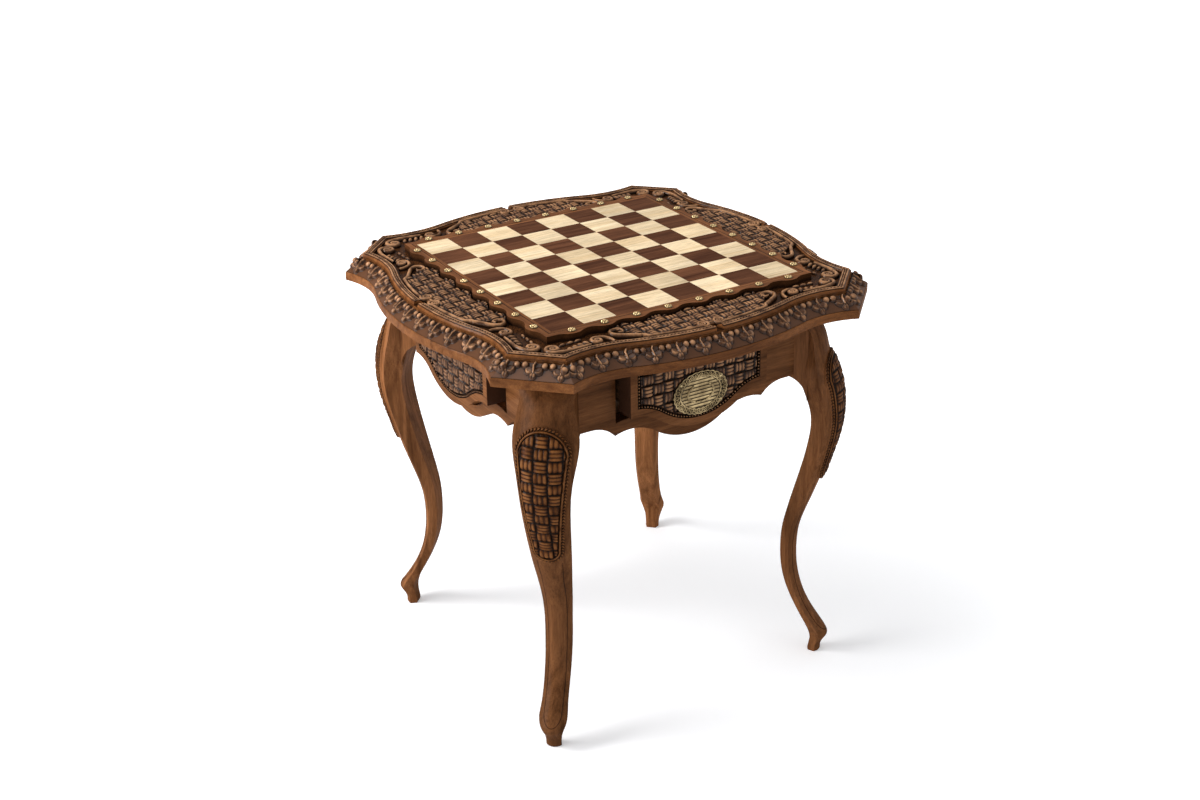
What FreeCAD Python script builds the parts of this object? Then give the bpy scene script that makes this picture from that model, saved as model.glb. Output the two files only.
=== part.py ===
import FreeCAD
import Part
import os
from math import sqrt, sin, cos, asin, radians
from FreeCAD import Vector as V

# Chess table: serpentine top with an inlaid board, four cabriole legs, four drawers.
# Millimetres. Origin on the floor under the middle, +Z up, the front drawer opens along -Y.

# Board and top
square = 50.0
squares_per_side = 8
board_height = 618.3
top_thick = 42.3
veneer_thick = 2.5
core_thick = 15.0
ground_drop = 10.3
border_valley = 14.0
border_lobe = 22.0
lobe_radius = 21.0
stud_reach = 11.5
stud_radius = 5.6
stud_rise = 4.0
stud_sides = 8
stud_crown_radius = 3.2
stud_shank_half = 1.1
stud_shank_depth = 7.0
# Serpentine outline of the slab
ground_narrow = 37.0
mid_bulge = 28.0
corner_rise = 11.4
valley_place = 175.0
corner_half = 227.8
edge_thick = 12.4
rim_inset = 23.0
rim_width = 12.0
rim_foot_drop = 13.8
rim_top_drop = 4.8
notch_half = 6.0
notch_past_rim = 5.0
# Carving of the top: basket weave inside the ridge, hanging trefoils outside it
weave_cell = 16.5
weave_gap = 3.0
weave_rise = 3.6
weave_end_rise = 1.4
weave_crown = 6.0
weave_from_border = 1.0
weave_from_ridge = 6.5
weave_half = 126.0
weave_slant = 0.72
trefoil_pitch = 36.0
trefoil_rise = 2.4
petal_radius = 5.4
petal_across = 5.8
petal_down = 13.5
drop_radius = 4.0
drop_down = 20.0
bead_radius = 4.6
bead_across = 13.0
bead_down = 5.6
facet_draw = 2.2
facets = 6
carving_root = 0.8
# Rails
overhang = 66.0
rail_thick = 24.0
rail_lobe_depth = 146.0
rail_crest_depth = 114.5
rail_shoulder_rise = 13.0
rail_crest_in = 14.0
rail_cusp_past = 1.0
rail_shoulder_run = 37.0
rail_lobe_share = 0.575
rail_strip = 17.0
rail_head = 10.0
tenon_thick = 10.0
tenon_short = 22.0
tenon_below_top = 16.0
tenon_height = 70.0
# Legs, in the upright plane of the diagonal
post_half = 36.0
post_behind = 5.0
post_front = 16.0
post_arch = 40.0
front_bow_share = 0.42
back_share = 0.7
panel_raise = 2.0
panel_top_radius = 40.0
panel_top_below = 112.0
panel_foot_radius = 24.0
panel_foot_below = 254.0
# Drawers
drawer_side = 66.0
drawer_gap = 9.0
drawer_proud = 24.5
front_thick = 30.0
front_head_gap = 2.0
front_lobe_gap = 7.5
front_crest_gap = 11.5
front_crest_in = 6.0
front_lobe_share = 0.636
field_margin = 11.0
field_sunk = 4.0
box_inset = 1.0
wall_thick = 8.0
box_lift = 23.5
box_head_gap = 6.0
housing = 6.0
back_housing = 3.0
bottom_thick = 4.0
bottom_up = 6.0
bottom_groove = 4.0
catch_half = 40.0
catch_rise = 12.0
deep_end = 14.0
deep_back = 44.0
shallow_back_in = 2.0
# Drawer guides
ledge_lap = 8.0
ledge_over = 0.5
fence_thick = 14.0
fence_height = 18.0
kicker_lap = 5.0
kicker_height = 14.0
runner_tenon = 8.0
runner_tenon_height = 6.0
heel_short = 1.0
heel_long = 25.0
heel_inset = 5.0
bar_height = 14.0
# Braces, buttons and screws
brace_from_runner = 1.4
brace_height = 34.0
brace_over_shoulder = 1.5
button_gap = 5.0
button_long = 30.0
button_tongue = 6.0
button_slot_below = 5.0
screw_radius = 2.0
screw_head_radius = 4.0
screw_head = 2.5
top_screw_bite = 14.0
brace_screw_bite = 25.0
# Plaque
plaque_half_width = 45.0
plaque_half_height = 32.5
plaque_below_top = 74.0
plaque_thick = 1.6
plaque_rim = 9.0
pin_radius = 0.9
pin_depth = 6.0
# Fits
clear = 0.15
slide_clear = 0.3
rest_clear = 0.5

field_half = square * squares_per_side / 2
underside = board_height - top_thick
ground = board_height - ground_drop
root2 = sqrt(2.0)
# Reaches from the middle of the table
valley_reach = field_half + border_lobe + ground_narrow + rim_width + rim_inset
mid_reach = valley_reach + mid_bulge
corner_reach = valley_reach + corner_rise
rail_face = valley_reach - overhang
corner_radius = rail_face * root2
tenon_reach = rail_face - tenon_short
panel_top_centre = underside - panel_top_below
panel_foot_centre = underside - panel_foot_below
post_mouth = rail_face - post_half * root2
drawer_half = post_mouth - drawer_side
opening_half = drawer_half + drawer_gap
front_face = rail_face + drawer_proud
front_back = front_face - front_thick
rail_inner = rail_face - rail_thick
# Heights of the rails' waved edge, and of the drawers over it
rail_crest = underside - rail_crest_depth
rail_lobe = underside - rail_lobe_depth
rail_shoulder = rail_crest + rail_shoulder_rise
rail_crest_place = drawer_half - rail_crest_in
rail_cusp_place = opening_half + rail_cusp_past
front_crest = rail_crest + rail_strip + front_crest_gap
front_lobe = rail_lobe + rail_strip + front_lobe_gap
wall_foot = rail_crest + rail_strip + box_lift
wall_top = underside - rail_head - box_head_gap
wall_outer = drawer_half - box_inset
wall_inner = wall_outer - wall_thick
ledge_top = wall_foot - slide_clear
ledge_foot = rail_crest + rail_strip + ledge_over
ledge_inner = wall_inner - ledge_lap
guide_outer = drawer_half + fence_thick
kicker_inner = wall_inner - kicker_lap
heel_drop = rail_strip - heel_short
shallow_end = guide_outer + rest_clear
shallow_back = shallow_end + shallow_back_in
button_space = rail_inner - post_half * root2 - guide_outer
button_place = guide_outer + button_space / 2
button_wide = button_space - 2 * button_gap
post_back = rail_inner * root2 - post_half - post_behind
brace_foot = rail_shoulder + brace_over_shoulder
brace_thick = post_back - (rail_inner + guide_outer + brace_from_runner) / root2


def box(x0, x1, y0, y1, z0, z1):
    return Part.makeBox(x1 - x0, y1 - y0, z1 - z0, V(x0, y0, z0))


def turned(shape, quarter):
    copy = shape.copy()
    copy.rotate(V(0, 0, 0), V(0, 0, 1), 90 * quarter)
    return copy


def mirrored(shape):
    return shape.mirror(V(0, 0, 0), V(1, 0, 0))


def rod(radius, length, at, along):
    return Part.makeCylinder(radius, length, at, along)


def save(name, shapes):
    solids = shapes if isinstance(shapes, list) else [shapes]
    shape = solids[0] if len(solids) == 1 else Part.makeCompound(solids)
    shape.exportStep("parts/" + name + ".step")


def arc(centre, radius, start, end):
    """Minor arc between two points of a circle, in the plane z of the centre."""
    bow = (start + end) * 0.5 - centre
    bow.normalize()
    return Part.Arc(start, centre + bow * radius, end).toShape()


def slab_outline(inset, z):
    """Closed serpentine outline, moved inward by inset: three arcs a side and canted corners."""
    rise = corner_reach - valley_reach
    run = corner_half - valley_place
    hollow = (run * run + rise * rise) / (2 * rise)
    drop = mid_reach - valley_reach
    bulge = (valley_place ** 2 + drop ** 2) / (2 * drop) - hollow
    middle = V(0, bulge - mid_reach, z)
    side = V(valley_place, -valley_reach - hollow, z)
    join = middle + (side - middle) * ((bulge - inset) / (bulge + hollow))
    cant = corner_reach + corner_half - inset * root2
    reach = cant - valley_reach - hollow
    x = (valley_place + reach + sqrt(2 * (hollow + inset) ** 2 - (valley_place - reach) ** 2)) / 2
    tip = V(x, x - cant, z)
    flip = lambda p: V(-p.x, p.y, p.z)
    edges = []
    for quarter in range(4):
        parts = [
            arc(flip(side), hollow + inset, flip(tip), flip(join)),
            Part.Arc(flip(join), middle + V(0, inset - bulge, 0), join).toShape(),
            arc(side, hollow + inset, join, tip),
            Part.makeLine(tip, V(-tip.y, -tip.x, z)),
        ]
        edges += [turned(edge, quarter) for edge in parts]
    return Part.Wire(edges)


def make_top():
    foot = board_height - rim_foot_drop
    crown = board_height - rim_top_drop
    ease = 1.0
    half = rim_width / 2
    profile = [
        (0.0, underside),
        (0.0, underside + edge_thick - ease),
        (ease, underside + edge_thick),
        (rim_inset - ease, foot - ease),
        (rim_inset, foot),
    ]
    for angle in (0, 40, 90, 140, 180):
        inset = rim_inset + half - half * cos(radians(angle))
        profile.append((inset, crown - half * 0.5 * (1 - sin(radians(angle)))))
    profile.append((rim_inset + rim_width, ground))
    top = Part.makeLoft([slab_outline(inset, z) for inset, z in profile], True, True)
    seat = field_half + clear
    pocket_floor = board_height - veneer_thick - core_thick
    top = top.cut(box(-seat, seat, -seat, seat, pocket_floor, ground + 1))
    for screw in button_screws(clear):
        top = top.cut(screw)
    top = top.cut([turned(rim_notch(), quarter) for quarter in range(4)])
    carving = make_weave() + make_trefoils()
    return top.fuse([turned(piece, quarter) for quarter in range(4) for piece in carving])


def rim_notch():
    """Wedge cut through the ridge at the middle of the front side, wide outside."""
    mouth = rim_inset - mid_reach
    apex = mouth + rim_width + notch_past_rim
    plan = [V(-notch_half, mouth, ground), V(notch_half, mouth, ground), V(0, apex, ground)]
    return Part.Face(Part.makePolygon(plan + plan[:1])).extrude(V(0, 0, ground_drop))


def weave_block():
    """One block of the weave, falling off towards both ends in x, its root in the ground."""
    half = (weave_cell - weave_gap) / 2
    root = ground - carving_root
    low = ground + weave_end_rise
    high = ground + weave_rise
    crown = weave_crown / 2
    side = [(half, root), (half, low), (crown, high), (-crown, high), (-half, low), (-half, root)]
    outline = [V(x, -half, z) for x, z in side]
    return Part.Face(Part.makePolygon(outline + outline[:1])).extrude(V(0, 2 * half, 0))


def make_weave():
    """Basket weave of the front panel, trimmed along the ridge and at its slanted ends."""
    across = weave_block()
    along = turned(across, 1)
    first = field_half + border_lobe + weave_from_border
    rows = int((mid_reach - first) / weave_cell)
    columns = int(weave_half / weave_cell)
    blocks = []
    for i in range(-columns, columns + 1):
        for j in range(rows):
            block = (along if (i + j) % 2 == 0 else across).copy()
            block.translate(V(i * weave_cell, -first - (j + 0.5) * weave_cell, 0))
            blocks.append(block)
    root = ground - carving_root
    inside = Part.Face(slab_outline(rim_inset + rim_width + weave_from_ridge, root))
    narrow = weave_half - weave_slant * (mid_reach - first)
    plan = [V(-weave_half, -first, root), V(-narrow, -mid_reach, root), V(narrow, -mid_reach, root),
            V(weave_half, -first, root)]
    ends = Part.Face(Part.makePolygon(plan + plan[:1]))
    trim = inside.common(ends).extrude(V(0, 0, carving_root + weave_rise + 1))
    kept = Part.makeCompound(blocks).common(trim).Solids
    smallest = (weave_cell - weave_gap) ** 2 * carving_root
    return [block for block in kept if block.Volume > smallest]


def facet_boss(radius, crown_radius, sides, foot, rise, x, y):
    """Boss with flat facets that draw in from its foot to its crown."""
    rings = []
    for r, z in ((radius, foot), (crown_radius, rise)):
        turns = [radians(360.0 * k / sides) for k in range(sides + 1)]
        rings.append(Part.makePolygon([V(x + r * cos(a), y + r * sin(a), z) for a in turns]))
    return Part.makeLoft(rings, True, True)


def trefoil():
    """One unit of the outer band on level ground: x along the band, y down its slope."""
    boss = lambda radius, x, y: facet_boss(radius, radius - facet_draw, facets, -carving_root,
                                           trefoil_rise, x, y)
    petals = [boss(petal_radius, s * petal_across, petal_down) for s in (-1, 1)]
    beads = [boss(bead_radius, s * bead_across, bead_down) for s in (-1, 1)]
    return [boss(drop_radius, 0, drop_down).fuse(petals)] + beads


def make_trefoils():
    """Trefoils hung along the front side and the front right cant, spaced evenly on each."""
    edges = slab_outline(0.0, underside + edge_thick).Edges
    foot_drop = board_height - rim_foot_drop - underside - edge_thick
    units = []
    for run in (edges[:3], edges[3:4]):
        path = Part.Wire(run)
        count = int(round(path.Length / trefoil_pitch))
        marks = path.discretize(Number=2 * count + 1)
        for k in range(count):
            ahead = marks[2 * k + 2] - marks[2 * k]
            ahead.normalize()
            inward = V(-ahead.y, ahead.x, 0)
            down = inward * -rim_inset - V(0, 0, foot_drop)
            head = marks[2 * k + 1] - down
            down.normalize()
            place = FreeCAD.Placement(FreeCAD.Matrix(ahead * -1, down, down.cross(ahead), head))
            for piece in trefoil():
                piece.Placement = place
                units.append(piece)
    return units


def make_squares(light):
    top = board_height - veneer_thick
    tiles = []
    for i in range(squares_per_side):
        for j in range(squares_per_side):
            if ((i + j) % 2 == 1) == light:
                x = i * square - field_half
                y = j * square - field_half
                tiles.append(box(x, x + square, y, y + square, top, board_height))
    return tiles


def stud_places():
    return [square * (i + 0.5) - field_half for i in range(squares_per_side)]


def make_border():
    """One mitred strip whose outer edge swells into a lobe round each stud."""
    inner = field_half + clear
    valley = field_half + border_valley
    lobe = field_half + border_lobe
    half_pitch = square / 2
    rise = border_lobe - border_valley
    hollow_radius = (half_pitch ** 2 + rise ** 2) / (2 * rise) - lobe_radius
    share = lobe_radius / (lobe_radius + hollow_radius)
    edges = []
    last = V(-valley, -valley, 0)
    for x in stud_places():
        left = V(x - half_pitch, -valley, 0)
        join_y = -lobe + lobe_radius - share * (lobe_radius + hollow_radius - rise)
        rising = V(x - share * half_pitch, join_y, 0)
        falling = V(x + share * half_pitch, join_y, 0)
        right = V(x + half_pitch, -valley, 0)
        if (left - last).Length > 0.01:
            edges.append(Part.makeLine(last, left))
        edges.append(arc(left - V(0, hollow_radius, 0), hollow_radius, left, rising))
        edges.append(Part.Arc(rising, V(x, -lobe, 0), falling).toShape())
        edges.append(arc(right - V(0, hollow_radius, 0), hollow_radius, falling, right))
        last = right
    corner = V(valley, -valley, 0)
    edges.append(Part.makeLine(last, corner))
    edges.append(Part.makeLine(corner, V(inner, -inner, 0)))
    edges.append(Part.makeLine(V(inner, -inner, 0), V(-inner, -inner, 0)))
    edges.append(Part.makeLine(V(-inner, -inner, 0), V(-valley, -valley, 0)))
    strip = Part.Face(Part.Wire(edges)).extrude(V(0, 0, ground_drop))
    strip.translate(V(0, 0, ground))
    for x in stud_places():
        hole = stud_shank(clear)
        hole.translate(V(x, -field_half - stud_reach, board_height))
        strip = strip.cut(hole)
    return [turned(strip, quarter) for quarter in range(4)]


def stud_shank(grow):
    """Square shank of a stud, down from its head."""
    half = stud_shank_half + grow
    return box(-half, half, -half, half, -stud_shank_depth - grow, 0)


def make_studs():
    """Faceted rosette heads on square shanks, eight along each side of the board."""
    edge = stud_rise * 0.3
    rim = facet_boss(stud_radius, stud_radius, stud_sides, 0, edge, 0, 0)
    head = rim.fuse(facet_boss(stud_radius, stud_crown_radius, stud_sides, edge, stud_rise, 0, 0))
    stud = head.fuse(stud_shank(0.0)).removeSplitter()
    studs = []
    for quarter in range(4):
        for x in stud_places():
            one = stud.copy()
            one.translate(V(x, -field_half - stud_reach, board_height))
            studs.append(turned(one, quarter))
    return studs


# Legs

# Share of the leg's height, inner and outer radius past the rails' corner, half width
leg_stations = [
    (0.000, -3.0, 13.5, 11.5),
    (0.012, -3.5, 15.0, 11.5),
    (0.035, -1.0, 19.5, 13.5),
    (0.054, -1.0, 25.0, 17.0),
    (0.073, -4.0, 19.5, 20.3),
    (0.104, -13.5, 7.0, 19.8),
    (0.156, -29.0, -10.0, 19.0),
    (0.217, -42.5, -22.0, 19.6),
    (0.278, -49.0, -27.0, 20.2),
    (0.330, -50.0, -27.0, 20.6),
    (0.377, -48.0, -23.5, 22.0),
    (0.441, -40.0, -11.5, 25.0),
    (0.503, -30.5, 1.5, 28.5),
    (0.573, -20.5, 14.5, 31.5),
    (0.642, -12.5, 25.5, 34.0),
    (0.703, -10.0, 31.0, 36.5),
    (0.755, -16.5, 30.5, 40.5),
    (0.799, -24.5, 26.0, 45.0),
    (0.842, -26.4, 16.5, 46.0),
    (0.885, -26.4, 8.5, 41.5),
    (0.938, -26.4, -3.5, 38.0),
    (1.000, -26.4, -10.5, 36.5),
]


def bowed_front(station, grow):
    """Left end, crown and right end of the arc across the leg's front, grown outward."""
    share, inner, outer, half = station
    front = corner_radius + outer + grow
    side = front - front_bow_share * (outer - inner)
    z = share * underside
    return V(side, -half - grow, z), V(front, 0, z), V(side, half + grow, z)


def leg_section(station):
    """Section of the leg: a bowed front, and sides drawn in to a narrower flat back."""
    left, crown, right = bowed_front(station, 0.0)
    back = corner_radius + station[1]
    heel = V(back, back_share * right.y, right.z)
    toe = V(back, back_share * left.y, left.z)
    return Part.Wire([
        Part.Arc(left, crown, right).toShape(),
        Part.makeLine(right, heel),
        Part.makeLine(heel, toe),
        Part.makeLine(toe, left),
    ])


def knee_section(station):
    """Bowed front alone, grown by the raise of the knee panel."""
    left, crown, right = bowed_front(station, panel_raise)
    return Part.Wire([Part.Arc(left, crown, right).toShape(), Part.makeLine(right, left)])


def knee_panel_outline():
    """Egg outline of the knee panel seen along the diagonal, as two arcs and two tangents."""
    lean = asin((panel_top_radius - panel_foot_radius) / (panel_top_centre - panel_foot_centre))
    at = lambda r, zc, s: V(0, s * r * cos(lean), zc + r * sin(lean))
    head = [at(panel_top_radius, panel_top_centre, s) for s in (1, -1)]
    foot = [at(panel_foot_radius, panel_foot_centre, s) for s in (1, -1)]
    crown = V(0, 0, panel_top_centre + panel_top_radius)
    sole = V(0, 0, panel_foot_centre - panel_foot_radius)
    return Part.Wire([
        Part.Arc(head[0], crown, head[1]).toShape(),
        Part.makeLine(head[1], foot[1]),
        Part.Arc(foot[1], sole, foot[0]).toShape(),
        Part.makeLine(foot[0], head[0]),
    ])


def make_post():
    """Square back of the leg's head, arched under, where the rails are tenoned in."""
    front = corner_radius - post_front
    low = rail_shoulder
    foot = V(front, 0, low - post_arch)
    turn = V(front - post_arch, 0, low)
    heel = V(post_back, 0, low)
    outline = Part.Wire([
        Part.makeLine(V(post_back, 0, underside), V(front, 0, underside)),
        Part.makeLine(V(front, 0, underside), foot),
        arc(foot - V(post_arch, 0, 0), post_arch, foot, turn),
        Part.makeLine(turn, heel),
        Part.makeLine(heel, V(post_back, 0, underside)),
    ])
    post = Part.Face(outline).extrude(V(0, 2 * post_half, 0))
    post.translate(V(0, -post_half, 0))
    return post


def make_leg():
    """Front left leg: lofted cabriole curve with a raised knee panel and two mortises."""
    leg = Part.makeLoft([leg_section(s) for s in leg_stations], True, False)
    knee = [knee_section(s) for s in leg_stations if 0.42 < s[0] < 0.95]
    panel = Part.Face(knee_panel_outline()).extrude(V(3 * panel_top_radius, 0, 0))
    panel.translate(V(corner_radius - panel_foot_radius, 0, 0))
    panel = panel.common(Part.makeLoft(knee, True, False))
    leg = leg.fuse([make_post(), panel])
    leg.rotate(V(0, 0, 0), V(0, 0, 1), 225)
    for mortise in (tenon(clear), tenon(clear).mirror(V(0, 0, 0), V(1, -1, 0))):
        leg = leg.cut(mortise)
    for screw in brace_screws(clear):
        leg = leg.cut(screw)
    return leg.removeSplitter()


# Rails

def tenon(grow):
    """Tenon at the left end of the front rail."""
    y = -(rail_face + rail_inner) / 2
    z1 = underside - tenon_below_top
    return box(-tenon_reach - grow, -rail_inner + post_half * root2 - 4, y - tenon_thick / 2 - grow,
               y + tenon_thick / 2 + grow, z1 - tenon_height - grow, z1 + grow)


def wave(lobe_z, crest_z, crest_x, lobe_share, end_x, up):
    """Right half of a wave, moved up by an offset: a hanging lobe, a crest and its run to end_x."""
    rise = crest_z - lobe_z
    radii = (crest_x ** 2 + rise ** 2) / (2 * rise)
    lobe_radius = radii * lobe_share - up
    crest_radius = radii - lobe_radius
    low = V(0, 0, lobe_z + up + lobe_radius)
    high = V(crest_x, 0, crest_z + up - crest_radius)
    join = low + (high - low) * (lobe_radius / radii)
    over = end_x - crest_x
    end = V(end_x, 0, high.z + sqrt(crest_radius ** 2 - over ** 2))
    return [(low, lobe_radius, V(0, 0, lobe_z + up), join), (high, crest_radius, join, end)]


def wave_edges(pieces):
    right = [arc(*piece) for piece in pieces]
    return [mirrored(edge) for edge in reversed(right)] + right, pieces[-1][3]


def rail_wave(up, end_x):
    return wave(rail_lobe, rail_crest, rail_crest_place, rail_lobe_share, end_x, up)


def make_rail():
    """Front rail: waved lower edge, drawer opening, mitred ends with tenons."""
    edges, cusp = wave_edges(rail_wave(0.0, rail_cusp_place))
    shoulder = V(rail_cusp_place + rail_shoulder_run, 0, rail_shoulder)
    run = shoulder.x - cusp.x
    rise = shoulder.z - cusp.z
    radius = (run ** 2 + rise ** 2) / (2 * rise)
    end = rail_face
    sweep = arc(shoulder - V(0, 0, radius), radius, cusp, shoulder)
    flat = Part.makeLine(shoulder, V(end, 0, shoulder.z))
    tall = Part.makeLine(V(end, 0, shoulder.z), V(end, 0, underside))
    head = Part.makeLine(V(end, 0, underside), V(-end, 0, underside))
    outline = [mirrored(e) for e in (tall, flat, sweep)] + edges + [sweep, flat, tall, head]
    rail = Part.Face(Part.Wire(Part.__sortEdges__(outline))).extrude(V(0, rail_thick, 0))
    rail = rail.cut(drawer_opening())
    rail.translate(V(0, -rail_face, 0))
    plan = [V(-post_mouth, -rail_face, 0), V(post_mouth, -rail_face, 0),
            V(post_mouth - rail_thick, -rail_inner, 0), V(rail_thick - post_mouth, -rail_inner, 0)]
    trim = Part.Face(Part.makePolygon(plan + plan[:1])).extrude(V(0, 0, board_height))
    rail = rail.common(trim)
    rail = rail.fuse([tenon(0.0), mirrored(tenon(0.0))])
    for button in button_pair(clear):
        rail = rail.cut(button)
    tongue = runner_heel(clear)
    rail = rail.cut(tongue).cut(mirrored(tongue))
    return rail.removeSplitter()


def drawer_opening():
    edges, end = wave_edges(rail_wave(rail_strip, opening_half))
    top = underside - rail_head
    right = Part.makeLine(end, V(end.x, 0, top))
    head = Part.makeLine(V(end.x, 0, top), V(-end.x, 0, top))
    outline = edges + [right, head, mirrored(right)]
    hole = Part.Face(Part.Wire(Part.__sortEdges__(outline))).extrude(V(0, rail_thick + 2, 0))
    hole.translate(V(0, -1, 0))
    return hole


# Drawers, built at the front

def front_outline(margin):
    edges, end = wave_edges(wave(front_lobe, front_crest, drawer_half - front_crest_in, front_lobe_share,
                                 drawer_half - margin, margin))
    top = underside - rail_head - front_head_gap - margin
    right = Part.makeLine(end, V(end.x, 0, top))
    head = Part.makeLine(V(end.x, 0, top), V(-end.x, 0, top))
    return Part.Face(Part.Wire(Part.__sortEdges__(edges + [right, head, mirrored(right)])))


def make_drawer_front():
    front = front_outline(0.0).extrude(V(0, front_thick, 0))
    front = front.cut(front_outline(field_margin).extrude(V(0, field_sunk, 0)))
    front.translate(V(0, -front_face, 0))
    for s in (-1, 1):
        x = sorted((s * (wall_inner - clear), s * (wall_outer + clear)))
        front = front.cut(box(x[0], x[1], -front_back - housing, -front_back + 1,
                              wall_foot - clear, wall_top + clear))
    groove = box(-wall_inner - 1, wall_inner + 1, -front_back - bottom_groove, -front_back + 1,
                 wall_foot + bottom_up - clear, wall_foot + bottom_up + bottom_thick + clear)
    return front.cut(groove)


def make_drawer_side(end, back):
    wall = box(wall_inner, wall_outer, -front_back - housing + clear, -end, wall_foot, wall_top)
    groove = box(wall_inner - 1, wall_inner + bottom_groove, -front_back - housing, -back + clear,
                 wall_foot + bottom_up - clear, wall_foot + bottom_up + bottom_thick + clear)
    dado = box(wall_inner - 1, wall_inner + back_housing, -back - wall_thick - clear, -back + clear,
               wall_foot + bottom_up, wall_top + 1)
    return wall.cut(groove).cut(dado)


def make_drawer_back(back):
    half = wall_inner + back_housing - clear
    low = wall_foot + bottom_up + bottom_thick + clear
    panel = box(-half, half, -back - wall_thick, -back, low, wall_top)
    catch = box(-catch_half, catch_half, -back - wall_thick, -back, wall_top, wall_top + catch_rise)
    return panel.fuse(catch).removeSplitter()


def make_drawer_bottom(back):
    half = wall_inner + bottom_groove - clear
    low = wall_foot + bottom_up
    return box(-half, half, -front_back - bottom_groove + clear, -back, low, low + bottom_thick)


def make_plaque():
    """Oval plate with a raised bead inside its rim."""
    z = underside - plaque_below_top
    wide = Part.Ellipse(V(0, 0, 0), plaque_half_width, plaque_half_height)
    inner = Part.Ellipse(V(0, 0, 0), plaque_half_width - plaque_rim, plaque_half_height - plaque_rim)
    field = Part.Ellipse(V(0, 0, 0), plaque_half_width - plaque_rim - 2, plaque_half_height - plaque_rim - 2)
    face = lambda ellipse: Part.Face(Part.Wire([ellipse.toShape()]))
    plate = face(wide).extrude(V(0, 0, plaque_thick))
    bead = face(inner).cut(face(field)).extrude(V(0, 0, plaque_thick * 1.8))
    plate = plate.fuse(bead)
    plate.rotate(V(0, 0, 0), V(1, 0, 0), 90)
    plate.translate(V(0, -front_face, z))
    for pin in plaque_pins(clear):
        plate = plate.cut(pin)
    return plate.removeSplitter()


def plaque_pins(grow):
    pins = []
    for sx in (-1, 1):
        for sz in (-1, 1):
            x = sx * (plaque_half_width - plaque_rim / 2) * 0.8
            z = underside - plaque_below_top + sz * (plaque_half_height - plaque_rim / 2) * 0.6
            face = -front_face - plaque_thick
            head = rod(pin_radius * 2, plaque_thick * 0.5, V(x, face, z), V(0, -1, 0))
            reach = plaque_thick + field_sunk + pin_depth
            shank = rod(pin_radius + grow, reach, V(x, face, z), V(0, 1, 0))
            pins.append(shank if grow else head.fuse(shank))
    return pins


# Guides of the drawers

def runner_section(y0, y1):
    """Rabbeted runner on the right of the front drawer, from y0 to y1."""
    ledge = box(ledge_inner, guide_outer, y0, y1, ledge_foot, ledge_top)
    fence = box(drawer_half, guide_outer, y0, y1, ledge_top, ledge_top + fence_height)
    return ledge.fuse(fence)


def runner_heel(grow):
    """Dropped end of a runner behind the front rail's strip, with its tongue; grown, only the tongue."""
    middle = ledge_foot - heel_drop / 2
    tongue = box(ledge_inner + heel_inset - grow, guide_outer - heel_inset + grow,
                 -rail_inner - runner_tenon - grow, -rail_inner, middle - runner_tenon_height / 2 - grow,
                 middle + runner_tenon_height / 2 + grow)
    if grow:
        return tongue
    heel = box(ledge_inner, guide_outer, -rail_inner, heel_long - rail_inner, ledge_foot - heel_drop,
               ledge_foot)
    return heel.fuse(tongue)


def cross_tongue(grow):
    """Tongue of the right drawer's runner that enters the long runner."""
    middle = (ledge_foot + ledge_top) / 2
    return box(guide_outer - runner_tenon - grow, guide_outer, ledge_inner + heel_inset - grow,
               guide_outer - heel_inset + grow, middle - runner_tenon_height / 2 - grow,
               middle + runner_tenon_height / 2 + grow)


def fore_and_aft(shape):
    return [shape, shape.mirror(V(0, 0, 0), V(0, 1, 0))]


def make_long_runner():
    runner = runner_section(-rail_inner, rail_inner).fuse(fore_and_aft(runner_heel(0.0)))
    for tongue in fore_and_aft(cross_tongue(clear)):
        runner = runner.cut(tongue)
    return runner.removeSplitter()


def make_short_runner():
    """Back runner of the right drawer, between the rail and the long runner."""
    runner = runner_section(-rail_inner, -guide_outer).fuse(runner_heel(0.0))
    return turned(runner, 1).fuse(cross_tongue(0.0)).removeSplitter()


def make_stop_bar():
    half = deep_end - rest_clear
    reach = drawer_half - clear
    return box(-reach, reach, -half, half, ledge_top, ledge_top + bar_height)


# Braces, buttons and screws

def make_brace():
    """Front left corner brace between the two rails, against the back of the leg."""
    face = post_back * root2
    rear = face - brace_thick * root2
    plan = [V(rail_inner - face, -rail_inner, 0), V(rail_inner - rear, -rail_inner, 0),
            V(-rail_inner, rail_inner - rear, 0), V(-rail_inner, rail_inner - face, 0)]
    brace = Part.Face(Part.makePolygon(plan + plan[:1])).extrude(V(0, 0, brace_height))
    brace.translate(V(0, 0, brace_foot))
    for screw in brace_screws(clear):
        brace = brace.cut(screw)
    return brace


def brace_screws(grow):
    """Two screws through the front left brace into the leg."""
    outward = V(-1, -1, 0) * (1 / root2)
    head_at = post_back - brace_thick
    screws = []
    for up in (0.25, 0.75):
        z = brace_foot + brace_height * up
        at = outward * head_at + V(0, 0, z)
        shank = rod(screw_radius + grow, brace_thick + brace_screw_bite + grow, at, outward)
        head = rod(screw_head_radius, screw_head, at - outward * screw_head, outward)
        screws.append(shank if grow else shank.fuse(head))
    return screws


def button_pair(grow):
    """Buttons of the front rail, with a tongue in the rail; grown, only the tongues."""
    z1 = underside - button_slot_below
    buttons = []
    for s in (-1, 1):
        x = s * button_place
        half = button_wide / 2
        tongue = box(x - half - grow, x + half + grow, -rail_inner - button_tongue - grow,
                     -rail_inner + 1, z1 - button_tongue - grow, z1 + grow)
        if grow:
            buttons.append(tongue)
            continue
        body = box(x - half, x + half, -rail_inner, -rail_inner + button_long, z1 - button_tongue, underside)
        button = body.fuse(tongue).removeSplitter()
        for screw in button_screw_pair(clear):
            button = button.cut(screw)
        buttons.append(button)
    return buttons


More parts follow.
